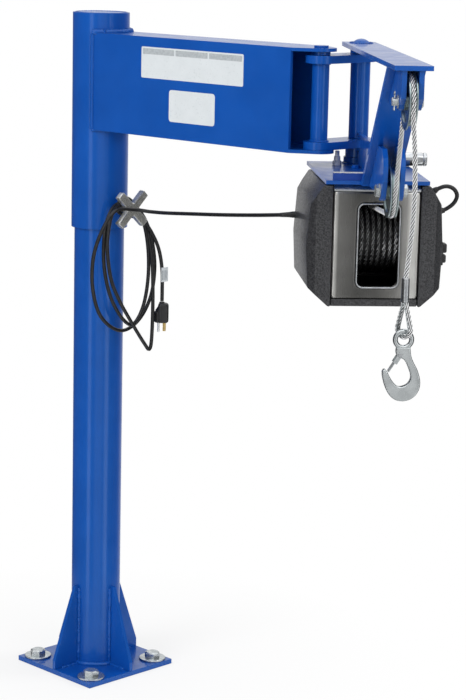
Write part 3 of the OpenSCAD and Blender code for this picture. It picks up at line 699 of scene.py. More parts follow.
span = Vector((UPPER_U - LOWER_U, UPPER_Z - LOWER_Z))
rise = math.degrees(math.atan2(span.y, span.x) + math.asin(2 * PITCH / span.length))
feed_r = WOUND / 2 + ROPE / 2 + 0.0003
feed = Vector((LOWER_U - DRUM_U, LOWER_Z - DRUM_Z))
feed_angle = math.degrees(math.atan2(feed.y, feed.x) - math.asin((feed_r + PITCH) / feed.length))
run = (arc(DRUM_U, DRUM_Z, feed_r, 90 + feed_angle + 40, 90 + feed_angle, 8)
       + arc(LOWER_U, LOWER_Z, PITCH, -90 + feed_angle, -90 + rise, 16)
       + arc(UPPER_U, UPPER_Z, PITCH, 90 + rise, 0, 28))
print("rope rises at", round(rise), "degrees")


# %% Hoist rope: the run over the sheaves and the fall to the hook
def make_rope(name, line, place, body):
    bm = sweep(bmesh.new(), even_line(line, 0.0025), ROPE * 0.66, 10, lobes=0.30, twist=ROPE_TURNS)
    return make_piece(name, bm, place, body, wire, 80)


rope_over = make_rope("rope_over_sheaves", run, HEAD, "head")
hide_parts("rope_run")
BOW = 0.008
off_sheave = UPPER_Z - 0.02
bow = [Vector((FALL_U, 0.0, z)) for z in (UPPER_Z, off_sheave)]
for k in range(1, 12):
    t = k / 12
    bow.append(Vector((FALL_U, BOW * math.sin(math.pi * t) + HANG * t,
                       off_sheave + (FERRULE_Z - off_sheave) * t)))
bow += [Vector((FALL_U, HANG, FERRULE_Z)), Vector((FALL_U, HANG, FERRULE_Z - 0.02))]
rope_down = make_rope("rope_fall_wire", smooth_line(bow, 4), HEAD, None)
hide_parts("rope_fall")
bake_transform(rope_down)
print("rope from drum to ferrule:", round(line_length(run) + line_length(bow), 3), "m")

# %% [markdown]
# ### Rope on the drum
# The stored rope lies in one tight helix between the flanges, point by point from
# the drum's radius and the pitch of the turns. It is greased, so the finish is
# darker than the free rope's, and a painted shadow darkens its lower turns. The
# drum itself is a core, two flanges and two hubs.

# %% Rope on the drum
HALF_DRUM = 0.156 / 2 - 0.0115
FLANGE_T, FLANGE_R, HUB_REACH, HUB_R = 0.004, 0.075, 0.014, 0.012
WRAP_PITCH, WRAP_POINTS, WRAP_R = 0.0104, 36, WOUND / 2 - ROPE / 2
turns = int((2 * HALF_DRUM - 0.012) / WRAP_PITCH)
wraps = []
for k in range(turns * WRAP_POINTS + 1):
    a = math.tau * k / WRAP_POINTS
    wraps.append(Vector((DRUM_U + WRAP_R * math.cos(a), -HALF_DRUM + 0.008 + WRAP_PITCH * k / WRAP_POINTS,
                         DRUM_Z + WRAP_R * math.sin(a))))
bm = sweep(bmesh.new(), wraps, ROPE * 0.54, 8, lobes=0.24, twist=ROPE_TURNS)
make_piece("drum_rope", bm, HEAD, "drum", greasy_wire, 80)
bm = bmesh.new()
drum_centre = Vector((DRUM_U, 0, DRUM_Z))
half_core = Vector((0, HALF_DRUM, 0))
add_drum(bm, drum_centre - half_core, drum_centre + half_core, WOUND / 2 - ROPE * 0.7)
for side in (-1, 1):
    inner = drum_centre + Vector((0, side * (HALF_DRUM - FLANGE_T), 0))
    add_drum(bm, inner, inner + Vector((0, side * FLANGE_T, 0)), FLANGE_R, sides=96, round_by=0.001)
    add_drum(bm, inner, inner + Vector((0, side * HUB_REACH, 0)), HUB_R, sides=48)
drum_core = make_piece("drum_core", bm, HEAD, "drum", dark_steel)
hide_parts("winch_drum")
print("turns on the drum:", turns)

# %% [markdown]
# ### Thimble, ferrule and rope loop
# The rope turns back on itself round a bent steel thimble and is held by a pressed
# ferrule. The loop is the rope's own section, drawn a little thinner and swept round
# a drop-shaped line; the thimble is a flattened section swept just inside it.

# %% Thimble, ferrule and rope loop
EYE_Z = FERRULE_Z - 0.102
EYE_R, EYE_BAR = 0.0134, 0.0043
THIMBLE_Z = EYE_Z + EYE_R + 0.0098 - EYE_BAR - 0.003 + 0.0020
HOOK_LINE = HEAD @ Matrix.Translation((FALL_U, HANG, 0))
THIMBLE = HOOK_LINE @ Matrix.Rotation(math.radians(42), 4, "Z")


def drop_line(radius, throat, steps=28):
    """A drop: straight flanks from the throat down to a round bottom."""
    lean = math.degrees(math.asin(radius / (throat - THIMBLE_Z)))
    round_part = []
    for k in range(steps + 1):
        a = math.radians(180 - lean + (180 + 2 * lean) * k / steps)
        round_part.append(Vector((radius * math.cos(a), 0, THIMBLE_Z + radius * math.sin(a))))
    return [Vector((-0.0016, 0, throat))] + round_part + [Vector((0.0016, 0, throat))]


loop_line = even_line(drop_line(0.0143, FERRULE_Z - 0.038), 0.0022)
bm = sweep(bmesh.new(), loop_line, 0.0038, 10, lobes=0.30, twist=ROPE_TURNS)
make_piece("rope_loop", bm, THIMBLE, "hook_block", wire, 80)
bm = sweep(bmesh.new(), even_line(drop_line(0.0118, FERRULE_Z - 0.041), 0.002), 0.0056, 16,
           side=Vector((1, 0, 0)), flat=0.16)
thimble = make_piece("thimble", bm, THIMBLE, "hook_block", zinc, 50)
bm = bmesh.new()
top, foot = FERRULE_Z - 0.0003, FERRULE_Z - 0.0413
add_drum(bm, Vector((0, 0, foot)), Vector((0, 0, top)), 0.0070, sides=40, round_by=0.0022)
bmesh.ops.scale(bm, verts=bm.verts, vec=(1.0, 0.86, 1.0))
make_piece("rope_ferrule", bm, THIMBLE, "hook_block", bare_steel)
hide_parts("rope_end")
print("rope loop:", len(loop_line), "points")

# %% [markdown]
# ### Hook
# The hook is forged and galvanised: a round eye on a flat body whose corners are
# well rounded. The body is one outline, extruded and bevelled; the eye is a round
# bar swept in a ring. The latch is the frame's own solid, and gets its pin here.

# %% Hook
HOOK_OUTLINE = """-11.5 -12.5, -12.5 -20, -9.5 -28, -1 -31.5, 4.5 -37, 9.5 -48, 13 -58, 12.5 -67,
6.5 -75, -3.5 -78, -11 -74.5, -19 -64.5, -25.5 -52.5, -29.5 -49, -33.4 -52, -33.2 -61, -29 -76.5,
-21.5 -91, -11 -99.8, 1 -102.2, 13 -99.6, 23 -92, 29 -80, 29.3 -66, 24.5 -50, 17.5 -37, 13.2 -26,
11.5 -12.5"""
HALF_HOOK = 6
outline = []
for pair in HOOK_OUTLINE.replace("\n", " ").split(","):
    y, z = map(float, pair.split())
    outline.append(mm(0, y, z) + Vector((0, 0, EYE_Z)))
outline = smooth_line(outline, 3)
bm = bmesh.new()
face = bm.faces.new([bm.verts.new(p + mm(HALF_HOOK, 0, 0)) for p in outline])
thicken(bm, [face], mm(-2 * HALF_HOOK, 0, 0))
round_off(bm, end_rims(bm.edges), 0.0054, 5)
eye = [Vector((0, EYE_R * math.cos(a), EYE_Z + EYE_R * math.sin(a)))
       for a in [math.tau * k / 48 for k in range(48)]]
sweep(bm, eye, EYE_BAR, 16, closed=True)
hook = make_piece("forged_hook", bm, HOOK_LINE, "hook_block", forged_zinc, 50)
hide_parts("hook")
bm = bmesh.new()
pin = Vector((0, -0.0053, EYE_Z - 0.0251))
add_drum(bm, pin - mm(8.2, 0, 0), pin + mm(8.2, 0, 0), 0.002, sides=24, round_by=0.0005)
for side in (-1, 1):
    add_drum(bm, pin + mm(side * 7.4, 0, 0), pin + mm(side * 8.6, 0, 0), 0.0034, sides=32, round_by=0.0005)
make_piece("latch_pin", bm, HOOK_LINE, "hook_block", bare_steel)
print("hook:", len(hook.data.polygons), "faces")

# %% [markdown]
# ## Weld beads
# A bead is a row of frozen ripples in a corner. It could be a bump on a smooth bar,
# but the painted ripples show on the outline too. So it is swept like a cord along
# the joint, and each ring swells a little more or less than the last, by chance.

# %% Weld beads
def make_weld(name, line, radius, place, body, closed=False, step=0.0028, rough=0.08):
    """rough is how unevenly the bead swells; the chance is seeded by its name, so it never changes."""
    line = even_line(line, step)
    if closed:
        line = line[:-1]
    chance = random.Random(name)
    uneven = [0.80 + 0.34 * (i % 2) + chance.uniform(-rough, rough) for i in range(len(line))]
    bm = sweep(bmesh.new(), line, radius, 8, swell=uneven.__getitem__, closed=closed)
    return make_piece(name, bm, place, body, powder_coat, 80)


def circle_line(radius, z, start=0, stop=360, steps=96):
    """Points on a level circle or arc, angles in degrees."""
    angles = [math.radians(start + (stop - start) * k / steps) for k in range(steps + 1)]
    return [Vector((radius * math.cos(a), radius * math.sin(a), z)) for a in angles]


# %% Welds of the mast foot and its gussets
MAST_R = 0.0508
GUSSET_TOP, GUSSET_FOOT, POINT_STEP = 180, 104, 9
make_weld("mast_foot_weld", circle_line(MAST_R + 0.001, 0.0120), 0.0058, ROW, "pedestal", closed=True)
for k in range(4):
    a = math.radians(90 * k)
    out, side = Vector((math.cos(a), math.sin(a), 0)), Vector((-math.sin(a), math.cos(a), 0))
    for way, letter in ((-1, "a"), (1, "b")):
        upright = [out * (MAST_R + 0.0002) + side * way * 0.0054 + Vector((0, 0, z / 1000))
                   for z in range(14, GUSSET_TOP, POINT_STEP)]
        level = [out * r / 1000 + side * way * 0.0048 + Vector((0, 0, 0.0102))
                 for r in range(52, GUSSET_FOOT, POINT_STEP)]
        make_weld(f"gusset_side_weld_{k}{letter}", upright, 0.0036, ROW, "pedestal", rough=0.36, step=0.0040)
        make_weld(f"gusset_foot_weld_{k}{letter}", level, 0.0034, ROW, "pedestal", rough=0.25)

# %% Welds of the sleeve, boom, link and head
SLEEVE_R, HALF_BOOM = 0.05715, 0.0507
root_x = math.sqrt(SLEEVE_R ** 2 - HALF_BOOM ** 2) + 0.001
for side in (-1, 1):
    make_weld("boom_root_weld_" + ("right" if side < 0 else "left"),
              [Vector((root_x, side * 0.0500, z / 1000)) for z in range(1140, 1331, 10)], 0.0048, BOOM, "jib")
make_weld("boom_root_weld_top", circle_line(SLEEVE_R + 0.0010, 1.3322, -62, 62), 0.0066, BOOM, "jib")
make_weld("boom_root_weld_under", circle_line(SLEEVE_R + 0.0006, 1.1382, -62, 62), 0.0036, BOOM, "jib")
make_weld("cap_weld", circle_line(0.0512, 1.3688), 0.0016, BOOM, "jib", closed=True)
LINK_LOW, LINK_TOP, LINK_T = 1.14515, 1.31775, 0.0145
for label, z in (("low", LINK_LOW + LINK_T + 0.001), ("high", LINK_TOP - LINK_T - 0.001)):
    make_weld("link_tube_weld_" + label, circle_line(0.0165, z), 0.002, LINK, "link", closed=True)
make_weld("boss_weld", circle_line(0.0268, 1.1128), 0.0022, HEAD, "head", closed=True)
make_weld("pin_top_weld", circle_line(0.0208, 1.3378), 0.0014, HEAD, "head", closed=True)

# %% [markdown]
# ## Lock knob
# The knob is a plated sand casting: four square prongs that flow into a hub. One
# drum and four blocks give the masses, and a voxel remesh melts them together as
# a casting would, with no seam to hide. Its screw is a bar with rings for threads.

# %% Lock knob
KNOB = BOOM @ Matrix.Translation((0.08415, 0, 0.981)) @ Matrix.Rotation(math.pi / 2, 4, "Y")
bm = bmesh.new()
add_drum(bm, mm(0, 0, 0.5), mm(0, 0, 15.5), 0.0150, 0.0125, round_by=0.002)
for k in range(4):
    older = set(bm.verts)
    add_block(bm, mm(36, 17, 13), mm(26.5, 0, 8.5), 0.0022)
    prong = [v for v in bm.verts if v not in older]
    turn = Matrix.Rotation(math.radians(45 + 90 * k), 3, "Z")
    bmesh.ops.rotate(bm, verts=prong, cent=(0, 0, 0), matrix=turn)
bmesh.ops.scale(bm, verts=bm.verts, vec=(1.0, 1.12, 1.0))
knob = make_piece("cast_knob", bm, KNOB, "jib", cast_grey, 60)
melt = knob.modifiers.new("melt", "REMESH")
melt.mode = "VOXEL"
melt.voxel_size = 0.0011
melt.use_smooth_shade = True
relax = knob.modifiers.new("relax", "SMOOTH")
relax.factor = 0.5
relax.iterations = 6
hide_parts("lock_knob")
bm = bmesh.new()
add_drum(bm, mm(0, 0, -26), mm(0, 0, 1), 0.008, sides=32)
for k in range(11):
    add_drum(bm, mm(0, 0, -16 + 1.5 * k), mm(0, 0, -15.25 + 1.5 * k), 0.0084, sides=32, round_by=0.0003)
make_piece("knob_screw", bm, KNOB, "jib", bare_steel)
print("lock knob and screw made")

# %% [markdown]
# ## Bolts, cotter and small fittings
# Zinc hex heads with a chamfered top on wide flat washers hold the foot. A hex is a
# six-sided drum, and a short many-sided one on top of it gives the chamfer.

# %% Hex bolts and washers
def add_hex(bm, low, high, across):
    """A hex head standing from low to high, its top chamfered to a circle."""
    tall = high - low
    add_drum(bm, low, high - tall * 0.16, across / math.sqrt(3), sides=6)
    add_drum(bm, high - tall * 0.17, high, across / 2 * 1.08, across / 2 * 0.86, sides=48)


BOLT_OUT = 0.086
anchors = [Vector((x, y, 0)) for x in (-BOLT_OUT, BOLT_OUT) for y in (-BOLT_OUT, BOLT_OUT)]
bm = bmesh.new()
for foot in anchors:
    add_drum(bm, foot, foot + mm(0, 0, 15), 0.0095, sides=40)
    add_hex(bm, foot + mm(0, 0, 14), foot + mm(0, 0, 25.8), 0.0285)
bolts = make_piece("anchor_bolt_heads", bm, ROW, "pedestal", zinc)
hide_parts("anchor_bolts")
bm = bmesh.new()
for foot in anchors:
    add_drum(bm, foot + mm(0, 0, 10), foot + mm(0, 0, 13.9), 0.028, sides=64, round_by=0.001)
washers = make_piece("anchor_washer_discs", bm, ROW, "pedestal", zinc)
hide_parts("anchor_washers")
print("anchor bolts and washers:", len(anchors))

# %% [markdown]
# ### Axle bolts and cotter
# The lower sheave turns on a bolt with a hex and a washer at each end. The upper
# one turns on a smooth pin, which a split cotter keeps. Drums give the turned
# pieces, and the cotter is swept bar: two legs that spread at the foot, and a ring.

# %% Axle bolts and cotter
bm = bmesh.new()
low = Vector((LOWER_U, 0, LOWER_Z))
for side in (-1, 1):
    root = low + mm(0, side * 19.2, 0)
    add_drum(bm, root, root + mm(0, side * 1.8, 0), 0.0125, sides=48, round_by=0.0005)
    add_hex(bm, root + mm(0, side * 1.8, 0), root + mm(0, side * 9, 0), 0.019)
add_drum(bm, low - mm(0, 20, 0), low + mm(0, 20, 0), 0.007, sides=32)
lower_pin = make_piece("lower_axle_bolt", bm, HEAD, "head", zinc)
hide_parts("lower_axle")
bm = bmesh.new()
high = Vector((UPPER_U, 0, UPPER_Z))
add_drum(bm, high - mm(0, 29, 0), high + mm(0, 20, 0), 0.007, sides=40, round_by=0.001)
add_drum(bm, high + mm(0, 18.6, 0), high + mm(0, 22, 0), 0.0095, sides=40, round_by=0.001)
add_drum(bm, high - mm(0, 20.6, 0), high - mm(0, 18.8, 0), 0.0115, sides=40, round_by=0.0004)
COTTER_Y, COTTER_R, RING_R = -24.5, 0.0011, 0.0028
for x in (-1.1, 1.1):
    leg = [high + mm(x, COTTER_Y, 11), high + mm(x, COTTER_Y, -9), high + mm(3.2 * x, COTTER_Y, -14)]
    sweep(bm, even_line(leg, 0.0015), COTTER_R, 8)
ring = [high + mm(0, COTTER_Y, 13.5) + RING_R * Vector((math.cos(a), 0, math.sin(a)))
        for a in [k / 16 * math.tau for k in range(16)]]
sweep(bm, ring, COTTER_R, 8, closed=True)
upper_pin = make_piece("upper_axle_cotter", bm, HEAD, "head", zinc)
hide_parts("upper_axle")
print("axle bolt, pin and cotter made")

# %% [markdown]
# ### Side roller, index plunger and small plate pieces
# The roller is polished steel with one narrow groove. The plunger is a hex with a
# pull stem. Both are drums stacked on one axis, which is how a lathe makes them.
# The screw is a hex, and a pale thin block along the top of the stop bar is a painted highlight.

# %% Side roller
bm = bmesh.new()
roller = mm(38, 83.5, 1125)
add_drum(bm, roller, roller + mm(0, 33, 0), 0.0125, sides=64, round_by=0.0006)
add_drum(bm, roller + mm(0, 32, 0), roller + mm(0, 35, 0), 0.0108, sides=64)
add_drum(bm, roller + mm(0, 34.2, 0), roller + mm(0, 41, 0), 0.0125, sides=64, round_by=0.0012)
add_drum(bm, roller + mm(0, 40.5, 0), roller + mm(0, 42, 0), 0.006, sides=32, round_by=0.0004)
add_block(bm, mm(6, 6, 12), mm(38, 86.5, 1118.5), 0.0008)
steel_roller = make_piece("steel_roller", bm, HEAD, "head", polished_steel)
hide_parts("side_roller")

# %% Index plunger, plate screw and highlight strip
bm = bmesh.new()
plunger = mm(34, -43, 1112)
add_hex(bm, plunger, plunger + mm(0, 0, 9), 0.0150)
add_drum(bm, plunger, plunger + mm(0, 0, 17.4), 0.0066, 0.0058, sides=40, round_by=0.0012)
add_drum(bm, plunger, plunger + mm(0, 0, 27.0), 0.0042, sides=32, round_by=0.0008)
spring_pin = make_piece("plunger_body", bm, HEAD, "head", zinc_painted_bright)
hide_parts("index_plunger")
bm = bmesh.new()
add_hex(bm, mm(80, -14, 1112), mm(80, -14, 1118), 0.0130)
make_piece("plate_screw", bm, HEAD, "head", powder_coat)
bm = bmesh.new()
# A painted highlight: a pale strip along the stop bar's top edge.
add_block(bm, mm(11, 57, 1.6), mm(264.5, -51, 1125.2), 0.0004, 1)
make_piece("stop_bar_highlight_strip", bm, HEAD, "head", pad_plastic)
print("roller, plunger, plate screw and highlight strip made")

# %% [markdown]
# ## Labels
# Two blank adhesive plates sit on the boom's side. They are thin films with
# rounded corners, and the upper one has three plain grey heading panels.

# %% Rounded plates
BOOM_SIDE = 0.05075
FILM_T, PRINT_T = 0.0004, 0.0001
LABEL_LEFT = 0.165
HEADING_WIDTH, HEADING_STEP = 0.0837, 0.0877


def rounded_plate(bm, width, height, corner, segments=5):
    """An upright rounded rectangle in X and Z, facing -Y."""
    made = bmesh.ops.create_grid(bm, x_segments=1, y_segments=1, size=0.5)["verts"]
    bmesh.ops.transform(bm, verts=made, matrix=Matrix.Rotation(math.pi / 2, 4, "X")
                        @ Matrix.Diagonal((width, height, 1, 1)))
    known = set(bm.verts) - set(made)
    round_off(bm, made, corner, segments, "VERTICES")
    return [v for v in bm.verts if v not in known]


def make_film(name, x0, x1, z0, z1, lift, thickness, corner, finish):
    """A film on the boom's side between x0 and x1 and z0 and z1, standing off by lift."""
    bm = bmesh.new()
    rounded_plate(bm, x1 - x0, z1 - z0, corner)
    thicken(bm, list(bm.faces), (0, thickness, 0))
    bmesh.ops.translate(bm, verts=bm.verts,
                        vec=((x0 + x1) / 2, -BOOM_SIDE - lift - thickness, (z0 + z1) / 2))
    return make_piece(name, bm, BOOM, "jib", finish)


# %% The two labels
make_film("side_label_wide", LABEL_LEFT, 0.432, 1.252, 1.312, 0.0, FILM_T, 0.003, white_film)
for k in range(3):
    left = LABEL_LEFT + 0.004 + k * HEADING_STEP
    make_film("side_label_head_%d" % (k + 1), left, left + HEADING_WIDTH, 1.298, 1.309, FILM_T, PRINT_T,
              0.001, grey_print)
make_film("side_label_small", 0.241, 0.361, 1.172, 1.233, 0.0, FILM_T, 0.006, white_film)
print("labels: two plates with three heading panels")

# %% [markdown]
# ## Winch
# The winch is a motor and a gearbox at the ends, in black textured housings, with
# a bent stainless cover over the drum between them. The solids give the outline;
# here the sheet gets its bends and rolled window edge, and the housings their
# rounded edges.

# %% Winch cover
COVER_W, WINCH_FRONT, WINCH_DEPTH = 0.156, 0.272, 0.245
PLATE_UNDER, WINCH_LOW = 1.105, 0.886
COVER_LOW, COVER_TOP = WINCH_LOW + 0.0145, PLATE_UNDER - 0.0115
WINDOW = (-0.034, 0.042, COVER_LOW + 0.020, COVER_LOW + 0.171)
WINDOW_CORNER = 0.012


def facing_out(vec):
    """Turns X and Z drawing space to face the head's +X: drawing X runs along the head's Y."""
    return Matrix.Translation(vec) @ Matrix.Rotation(math.pi / 2, 4, "Z")


def outline_loop(bm, y0, y1, z0, z1, corner, segments):
    """A rounded rectangle on the cover's front."""
    made = rounded_plate(bm, y1 - y0, z1 - z0, corner, segments)
    centre = Vector((WINCH_FRONT, (y0 + y1) / 2, (z0 + z1) / 2))
    bmesh.ops.transform(bm, verts=made, matrix=facing_out(centre))
    return made


bm = bmesh.new()
outer = outline_loop(bm, -COVER_W / 2, COVER_W / 2, COVER_LOW, COVER_TOP, 0.0064, 6)
hole = outline_loop(bm, *WINDOW, WINDOW_CORNER, 6)
bmesh.ops.delete(bm, geom=list(bm.faces), context="FACES_ONLY")
outer_edges, hole_edges = edges_at(outer), edges_at(hole)
bmesh.ops.bridge_loops(bm, edges=outer_edges + hole_edges)
rolled = points_of(bmesh.ops.extrude_edge_only(bm, edges=hole_edges)["geom"])
bmesh.ops.translate(bm, verts=rolled, vec=(-0.006, 0, 0))
middle = Vector((0, (WINDOW[0] + WINDOW[1]) / 2, (WINDOW[2] + WINDOW[3]) / 2))
bmesh.ops.scale(bm, verts=rolled, vec=(1, 0.93, 0.965), space=Matrix.Translation(-middle))
back = points_of(bmesh.ops.extrude_edge_only(bm, edges=outer_edges)["geom"])
bmesh.ops.translate(bm, verts=back, vec=(-WINCH_DEPTH + 0.032, 0, 0))
rims = [e for e in bm.edges if not e.is_boundary and len(e.link_faces) == 2
        and all(abs(v.co.x - WINCH_FRONT) < 1e-6 for v in e.verts)
        and e.calc_face_angle(0) > 0.5]
round_off(bm, rims, 0.0055, 4)
cover = make_piece("winch_cover_sheet", bm, HEAD, "head", stainless, 40)
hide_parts("winch_cover")
thick = cover.modifiers.new("sheet", "SOLIDIFY")
thick.thickness = 0.0014
thick.offset = -1
flats = cover.modifiers.new("flats", "WEIGHTED_NORMAL")
flats.keep_sharp = True
print("cover sheet:", len(cover.data.polygons), "faces")

# %% [markdown]
# ### Window lip
# The window's cut edge is bent over and catches the light as a thin bright line.
# It could be a bevel on the sheet, but a round bar swept round the opening gives
# the same line with a few faces.

# %% Window lip
LIP_CORNER = WINDOW_CORNER - 0.0005
y0, y1, z0, z1 = WINDOW
lip = []
for cy, cz, first in ((y1, z1, 0), (y0, z1, 90), (y0, z0, 180), (y1, z0, 270)):
    turn_y = cy - math.copysign(WINDOW_CORNER, cy - (y0 + y1) / 2)
    turn_z = cz - math.copysign(WINDOW_CORNER, cz - (z0 + z1) / 2)
    for k in range(7):
        a = math.radians(first + 15 * k)
        lip.append(Vector((WINCH_FRONT + 0.0002, turn_y + LIP_CORNER * math.cos(a),
                           turn_z + LIP_CORNER * math.sin(a))))
bm = sweep(bmesh.new(), lip, 0.0017, 12, closed=True)
make_piece("window_lip", bm, HEAD, "head", bare_steel, 60)
print("window lip:", len(lip), "points")

# %% [markdown]
# ### Top flange and shade walls of the drum bay
# The sheet's top edge is bent back under the winch plate, which shows as a sloping
# bright strip: one profile, extruded across. Behind the window the bay is dark, so
# five thin black walls close it, a dark sheet standing in for shade, and no light
# comes in from behind.

# %% Top flange
HALF_FLANGE = 77
bm = bmesh.new()
corners = [mm(271.5, 0, 1093), mm(271.5, 0, 1096), mm(262, 0, 1104.6), mm(258, 0, 1104.6), mm(268, 0, 1093)]
face = bm.faces.new([bm.verts.new(p - mm(0, HALF_FLANGE, 0)) for p in corners])
thicken(bm, [face], mm(0, 2 * HALF_FLANGE, 0))
make_piece("cover_top_flange", bm, HEAD, "head", bare_steel)

# %% Shade walls of the drum bay
BAY_DEPTH, BAY_X, HALF_BAY, LINING_T = 0.190, 0.127, 0.0700, 0.001
BAY_INSET = 0.0045
bay_z = (COVER_LOW + COVER_TOP) / 2
bm = bmesh.new()
for z in (COVER_LOW + BAY_INSET, COVER_TOP - BAY_INSET):
    add_block(bm, Vector((BAY_DEPTH, 2 * HALF_BAY, LINING_T)), Vector((BAY_X, 0, z)))
add_block(bm, Vector((0.003, 0.150, 0.186)), Vector((0.045, 0, bay_z)))
for side in (-1, 1):
    add_block(bm, Vector((BAY_DEPTH, LINING_T, 0.184)), Vector((BAY_X, side * HALF_BAY, bay_z)))
make_piece("drum_bay_shade_walls", bm, HEAD, "head", smooth_black)
print("drum bay closed by five walls")

# %% [markdown]
# ### Winch end housings
# The gearbox and the motor sit in black textured housings. Each is one profile,
# extruded from back to front. Its two upright outer edges are cut off at a slant by
# a plane, which leaves flat facets, and then every edge is rounded a little.

# %% Winch end housings
HOUSING_BACK, HOUSING_FRONT = 0.028, 0.271


def make_housing(name, side):
    """side is -1 for the left housing and 1 for the right one."""
    z0, z1 = WINCH_LOW, PLATE_UNDER - 0.002
    inner, outer = COVER_W / 2 + 0.0006, 0.123
    bm = bmesh.new()
    profile = [(inner, z0), (outer - 0.040, z0), (outer - 0.004, z0 + 0.032), (outer, z0 + 0.106),
               (outer - 0.006, COVER_TOP - 0.024), (outer - 0.028, z1), (inner, z1)]
    face = bm.faces.new([bm.verts.new((HOUSING_BACK, side * y, z)) for y, z in profile])
    thicken(bm, [face], (HOUSING_FRONT - HOUSING_BACK, 0, 0))
    facet = 0.016 / math.sqrt(2)
    for x, sign in ((HOUSING_FRONT, 1), (HOUSING_BACK, -1)):
        normal = Vector((sign, side, 0)).normalized()
        point = Vector((x, side * outer, 0)) - normal * facet
        geom = list(bm.verts) + list(bm.edges) + list(bm.faces)
        cut = bmesh.ops.bisect_plane(bm, geom=geom, plane_co=point, plane_no=normal, clear_outer=True)
        cut_edges = [g for g in cut["geom_cut"] if isinstance(g, bmesh.types.BMEdge)]
        bmesh.ops.contextual_create(bm, geom=cut_edges)
    bmesh.ops.dissolve_limit(bm, angle_limit=0.02, verts=bm.verts, edges=bm.edges)
    round_off(bm, list(bm.edges), 0.0032, 3)
    return make_piece(name, bm, HEAD, "head", black_housing, 40)


for label, side in (("left", -1), ("right", 1)):
    housing = make_housing("winch_%s_housing" % label, side)
    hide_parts("winch_%s_end" % label)
    print(label, "housing:", len(housing.data.polygons), "faces")

# %% [markdown]
# ### Winch foot strip and rocker switch
# A black strip closes the winch below, and a rocker switch stands in a frame on
# the right housing. Both are rounded blocks, and the rocker is two of them, so
# that it dips in the middle.

# %% Winch foot strip and rocker switch
bm = bmesh.new()
add_block(bm, mm(228, 155, 13.6), mm(154, 0, 893.2), 0.002)
make_piece("winch_foot_strip", bm, HEAD, "head", black_housing)
bm = bmesh.new()
add_block(bm, mm(26, 6, 42), mm(236, 122.5, 979.5), 0.0015)
make_piece("switch_frame", bm, HEAD, "head", smooth_black)
bm = bmesh.new()
add_block(bm, mm(20, 10, 17), mm(236, 127.5, 989), 0.003, 3)
add_block(bm, mm(20, 9, 15), mm(236, 127.0, 970), 0.003, 3)
make_piece("switch_rocker", bm, HEAD, "head", smooth_black)
print("foot strip, switch frame and rocker made")

# %% [markdown]
# ## Floor and light
# The floor shows white to the camera away from the crane's foot, and near the foot
# it takes the crane's shadow. A plain white floor would be mirrored in the paint as
# a glare from below, so mirror rays pass through it except right at the foot.

# %% Floor
def make_floor():
    """White to the camera and open to mirror rays away from the foot, matt otherwise."""
    finish, nodes, links, shader = new_finish("studio_floor")
    shader.inputs["Base Color"].default_value = (0.86, 0.86, 0.86, 1)
    shader.inputs["Roughness"].default_value = 0.9
    shader.inputs["Specular IOR Level"].default_value = 0.1
    distance = nodes.new("ShaderNodeVectorMath")
    distance.operation = "LENGTH"
    links.new(object_place(nodes), distance.inputs[0])
    paths = nodes.new("ShaderNodeLightPath")
    white = nodes.new("ShaderNodeEmission")
    clear = nodes.new("ShaderNodeBsdfTransparent")
    result = shader.outputs["BSDF"]
    for ray, other, near in (("Is Camera Ray", white, 0.72), ("Is Glossy Ray", clear, 0.0)):
        share = nodes.new("ShaderNodeMath")
        share.operation = "MULTIPLY"
        links.new(paths.outputs[ray], share.inputs[0])
        links.new(spread(nodes, links, distance.outputs["Value"], near, 1.0, 0.15, 0.7), share.inputs[1])
        result = swap_shader(nodes, links, share.outputs[0], result, other)
    links.new(result, nodes["Material Output"].inputs["Surface"])
    return finish


bm = bmesh.new()
bmesh.ops.create_grid(bm, x_segments=1, y_segments=1, size=14)
mesh = bpy.data.meshes.new("studio_floor")
bm.to_mesh(mesh)
bm.free()
mesh.materials.append(make_floor())
floor = bpy.data.objects.new("studio_floor", mesh)
scene.collection.objects.link(floor)
floor.location.z = -0.001
print("floor laid")

# %% [markdown]
# ### World
# Paint and steel look like what they mirror. A white world would wash the blue out,
# so mirror rays meet a dark room instead, with tall bright strips at chosen bearings
# and a light ceiling. The camera itself sees plain white, and the rest of the light
# is even. The room is a ramp over the bearing, and not a picture.

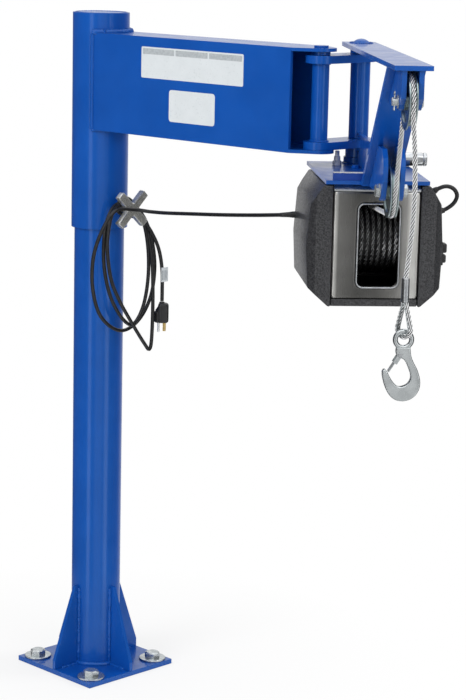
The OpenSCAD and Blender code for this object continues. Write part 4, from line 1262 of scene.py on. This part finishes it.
# %% World
# Bearing in degrees and brightness of the room's walls, all round.
ROOM = ((-180, 0.06), (-145, 0.06), (-104, 0.08), (-90, 0.15), (-86, 1.8), (-76, 1.8), (-70, 0.2),
        (-60, 0.15), (-48, 0.75), (-24, 0.75), (-14, 0.25), (-3, 1.8), (6, 1.8), (13, 0.12), (60, 0.06),
        (82, 0.2), (92, 0.5), (112, 0.6), (124, 0.9), (148, 0.9), (156, 0.1), (180, 0.06))
ROOM_PEAK = 4.0
world = bpy.data.worlds.new("studio")
world.use_nodes = True
scene.world = world
nodes, links = world.node_tree.nodes, world.node_tree.links
parts = nodes.new("ShaderNodeSeparateXYZ")
links.new(nodes.new("ShaderNodeTexCoord").outputs["Generated"], parts.inputs[0])
azimuth = nodes.new("ShaderNodeMath")
azimuth.operation = "ARCTAN2"
links.new(parts.outputs["Y"], azimuth.inputs[0])
links.new(parts.outputs["X"], azimuth.inputs[1])
bearing = spread(nodes, links, azimuth.outputs[0], 0, 1, -math.pi, math.pi)
shares = [(degrees / 360 + 0.5, value / ROOM_PEAK) for degrees, value in ROOM]
walls = nodes.new("ShaderNodeMath")
walls.operation = "MULTIPLY_ADD"
walls.inputs[1].default_value = ROOM_PEAK
links.new(grey_ramp(nodes, links, bearing, shares), walls.inputs[0])
links.new(spread(nodes, links, parts.outputs["Z"], 0, 1.1, 0.45, 0.75), walls.inputs[2])
mirrored = nodes.new("ShaderNodeBackground")
links.new(walls.outputs[0], mirrored.inputs["Strength"])
ambient = nodes["Background"]
ambient.inputs["Color"].default_value = (1, 1, 1, 1)
ambient.inputs["Strength"].default_value = 0.62
white = nodes.new("ShaderNodeBackground")
paths = nodes.new("ShaderNodeLightPath")
result = ambient.outputs[0]
for ray, other in (("Is Glossy Ray", mirrored), ("Is Camera Ray", white)):
    other.inputs["Color"].default_value = (1, 1, 1, 1)
    result = swap_shader(nodes, links, paths.outputs[ray], result, other)
links.new(result, nodes["World Output"].inputs[0])
print("world: a room of", len(ROOM), "bearings")

# %% [markdown]
# ### Lamps
# Three wide discs light the crane softly: one from the left, one from the right,
# and one from behind and to the right for the edges. They are hidden from mirror
# rays, so that no round spot shows in the paint.

# %% Lamps
def soft_lamp(name, place, target, size, power):
    data = bpy.data.lights.new(name, "AREA")
    data.shape = "DISK"
    data.size = size
    data.energy = power
    lamp = bpy.data.objects.new(name, data)
    lamp.location = place
    lamp.rotation_euler = (Vector(target) - Vector(place)).to_track_quat("-Z", "Y").to_euler()
    lamp.visible_glossy = False
    scene.collection.objects.link(lamp)


soft_lamp("key_lamp", (0.2, -3.4, 2.8), (0.4, 0, 0.8), 2.0, 80)
soft_lamp("fill_lamp", (4.2, -0.6, 2.2), (0.4, 0, 0.8), 2.2, 30)
soft_lamp("rim_lamp", (1.8, 3.0, 2.4), (0.2, 0, 0.9), 1.6, 50)
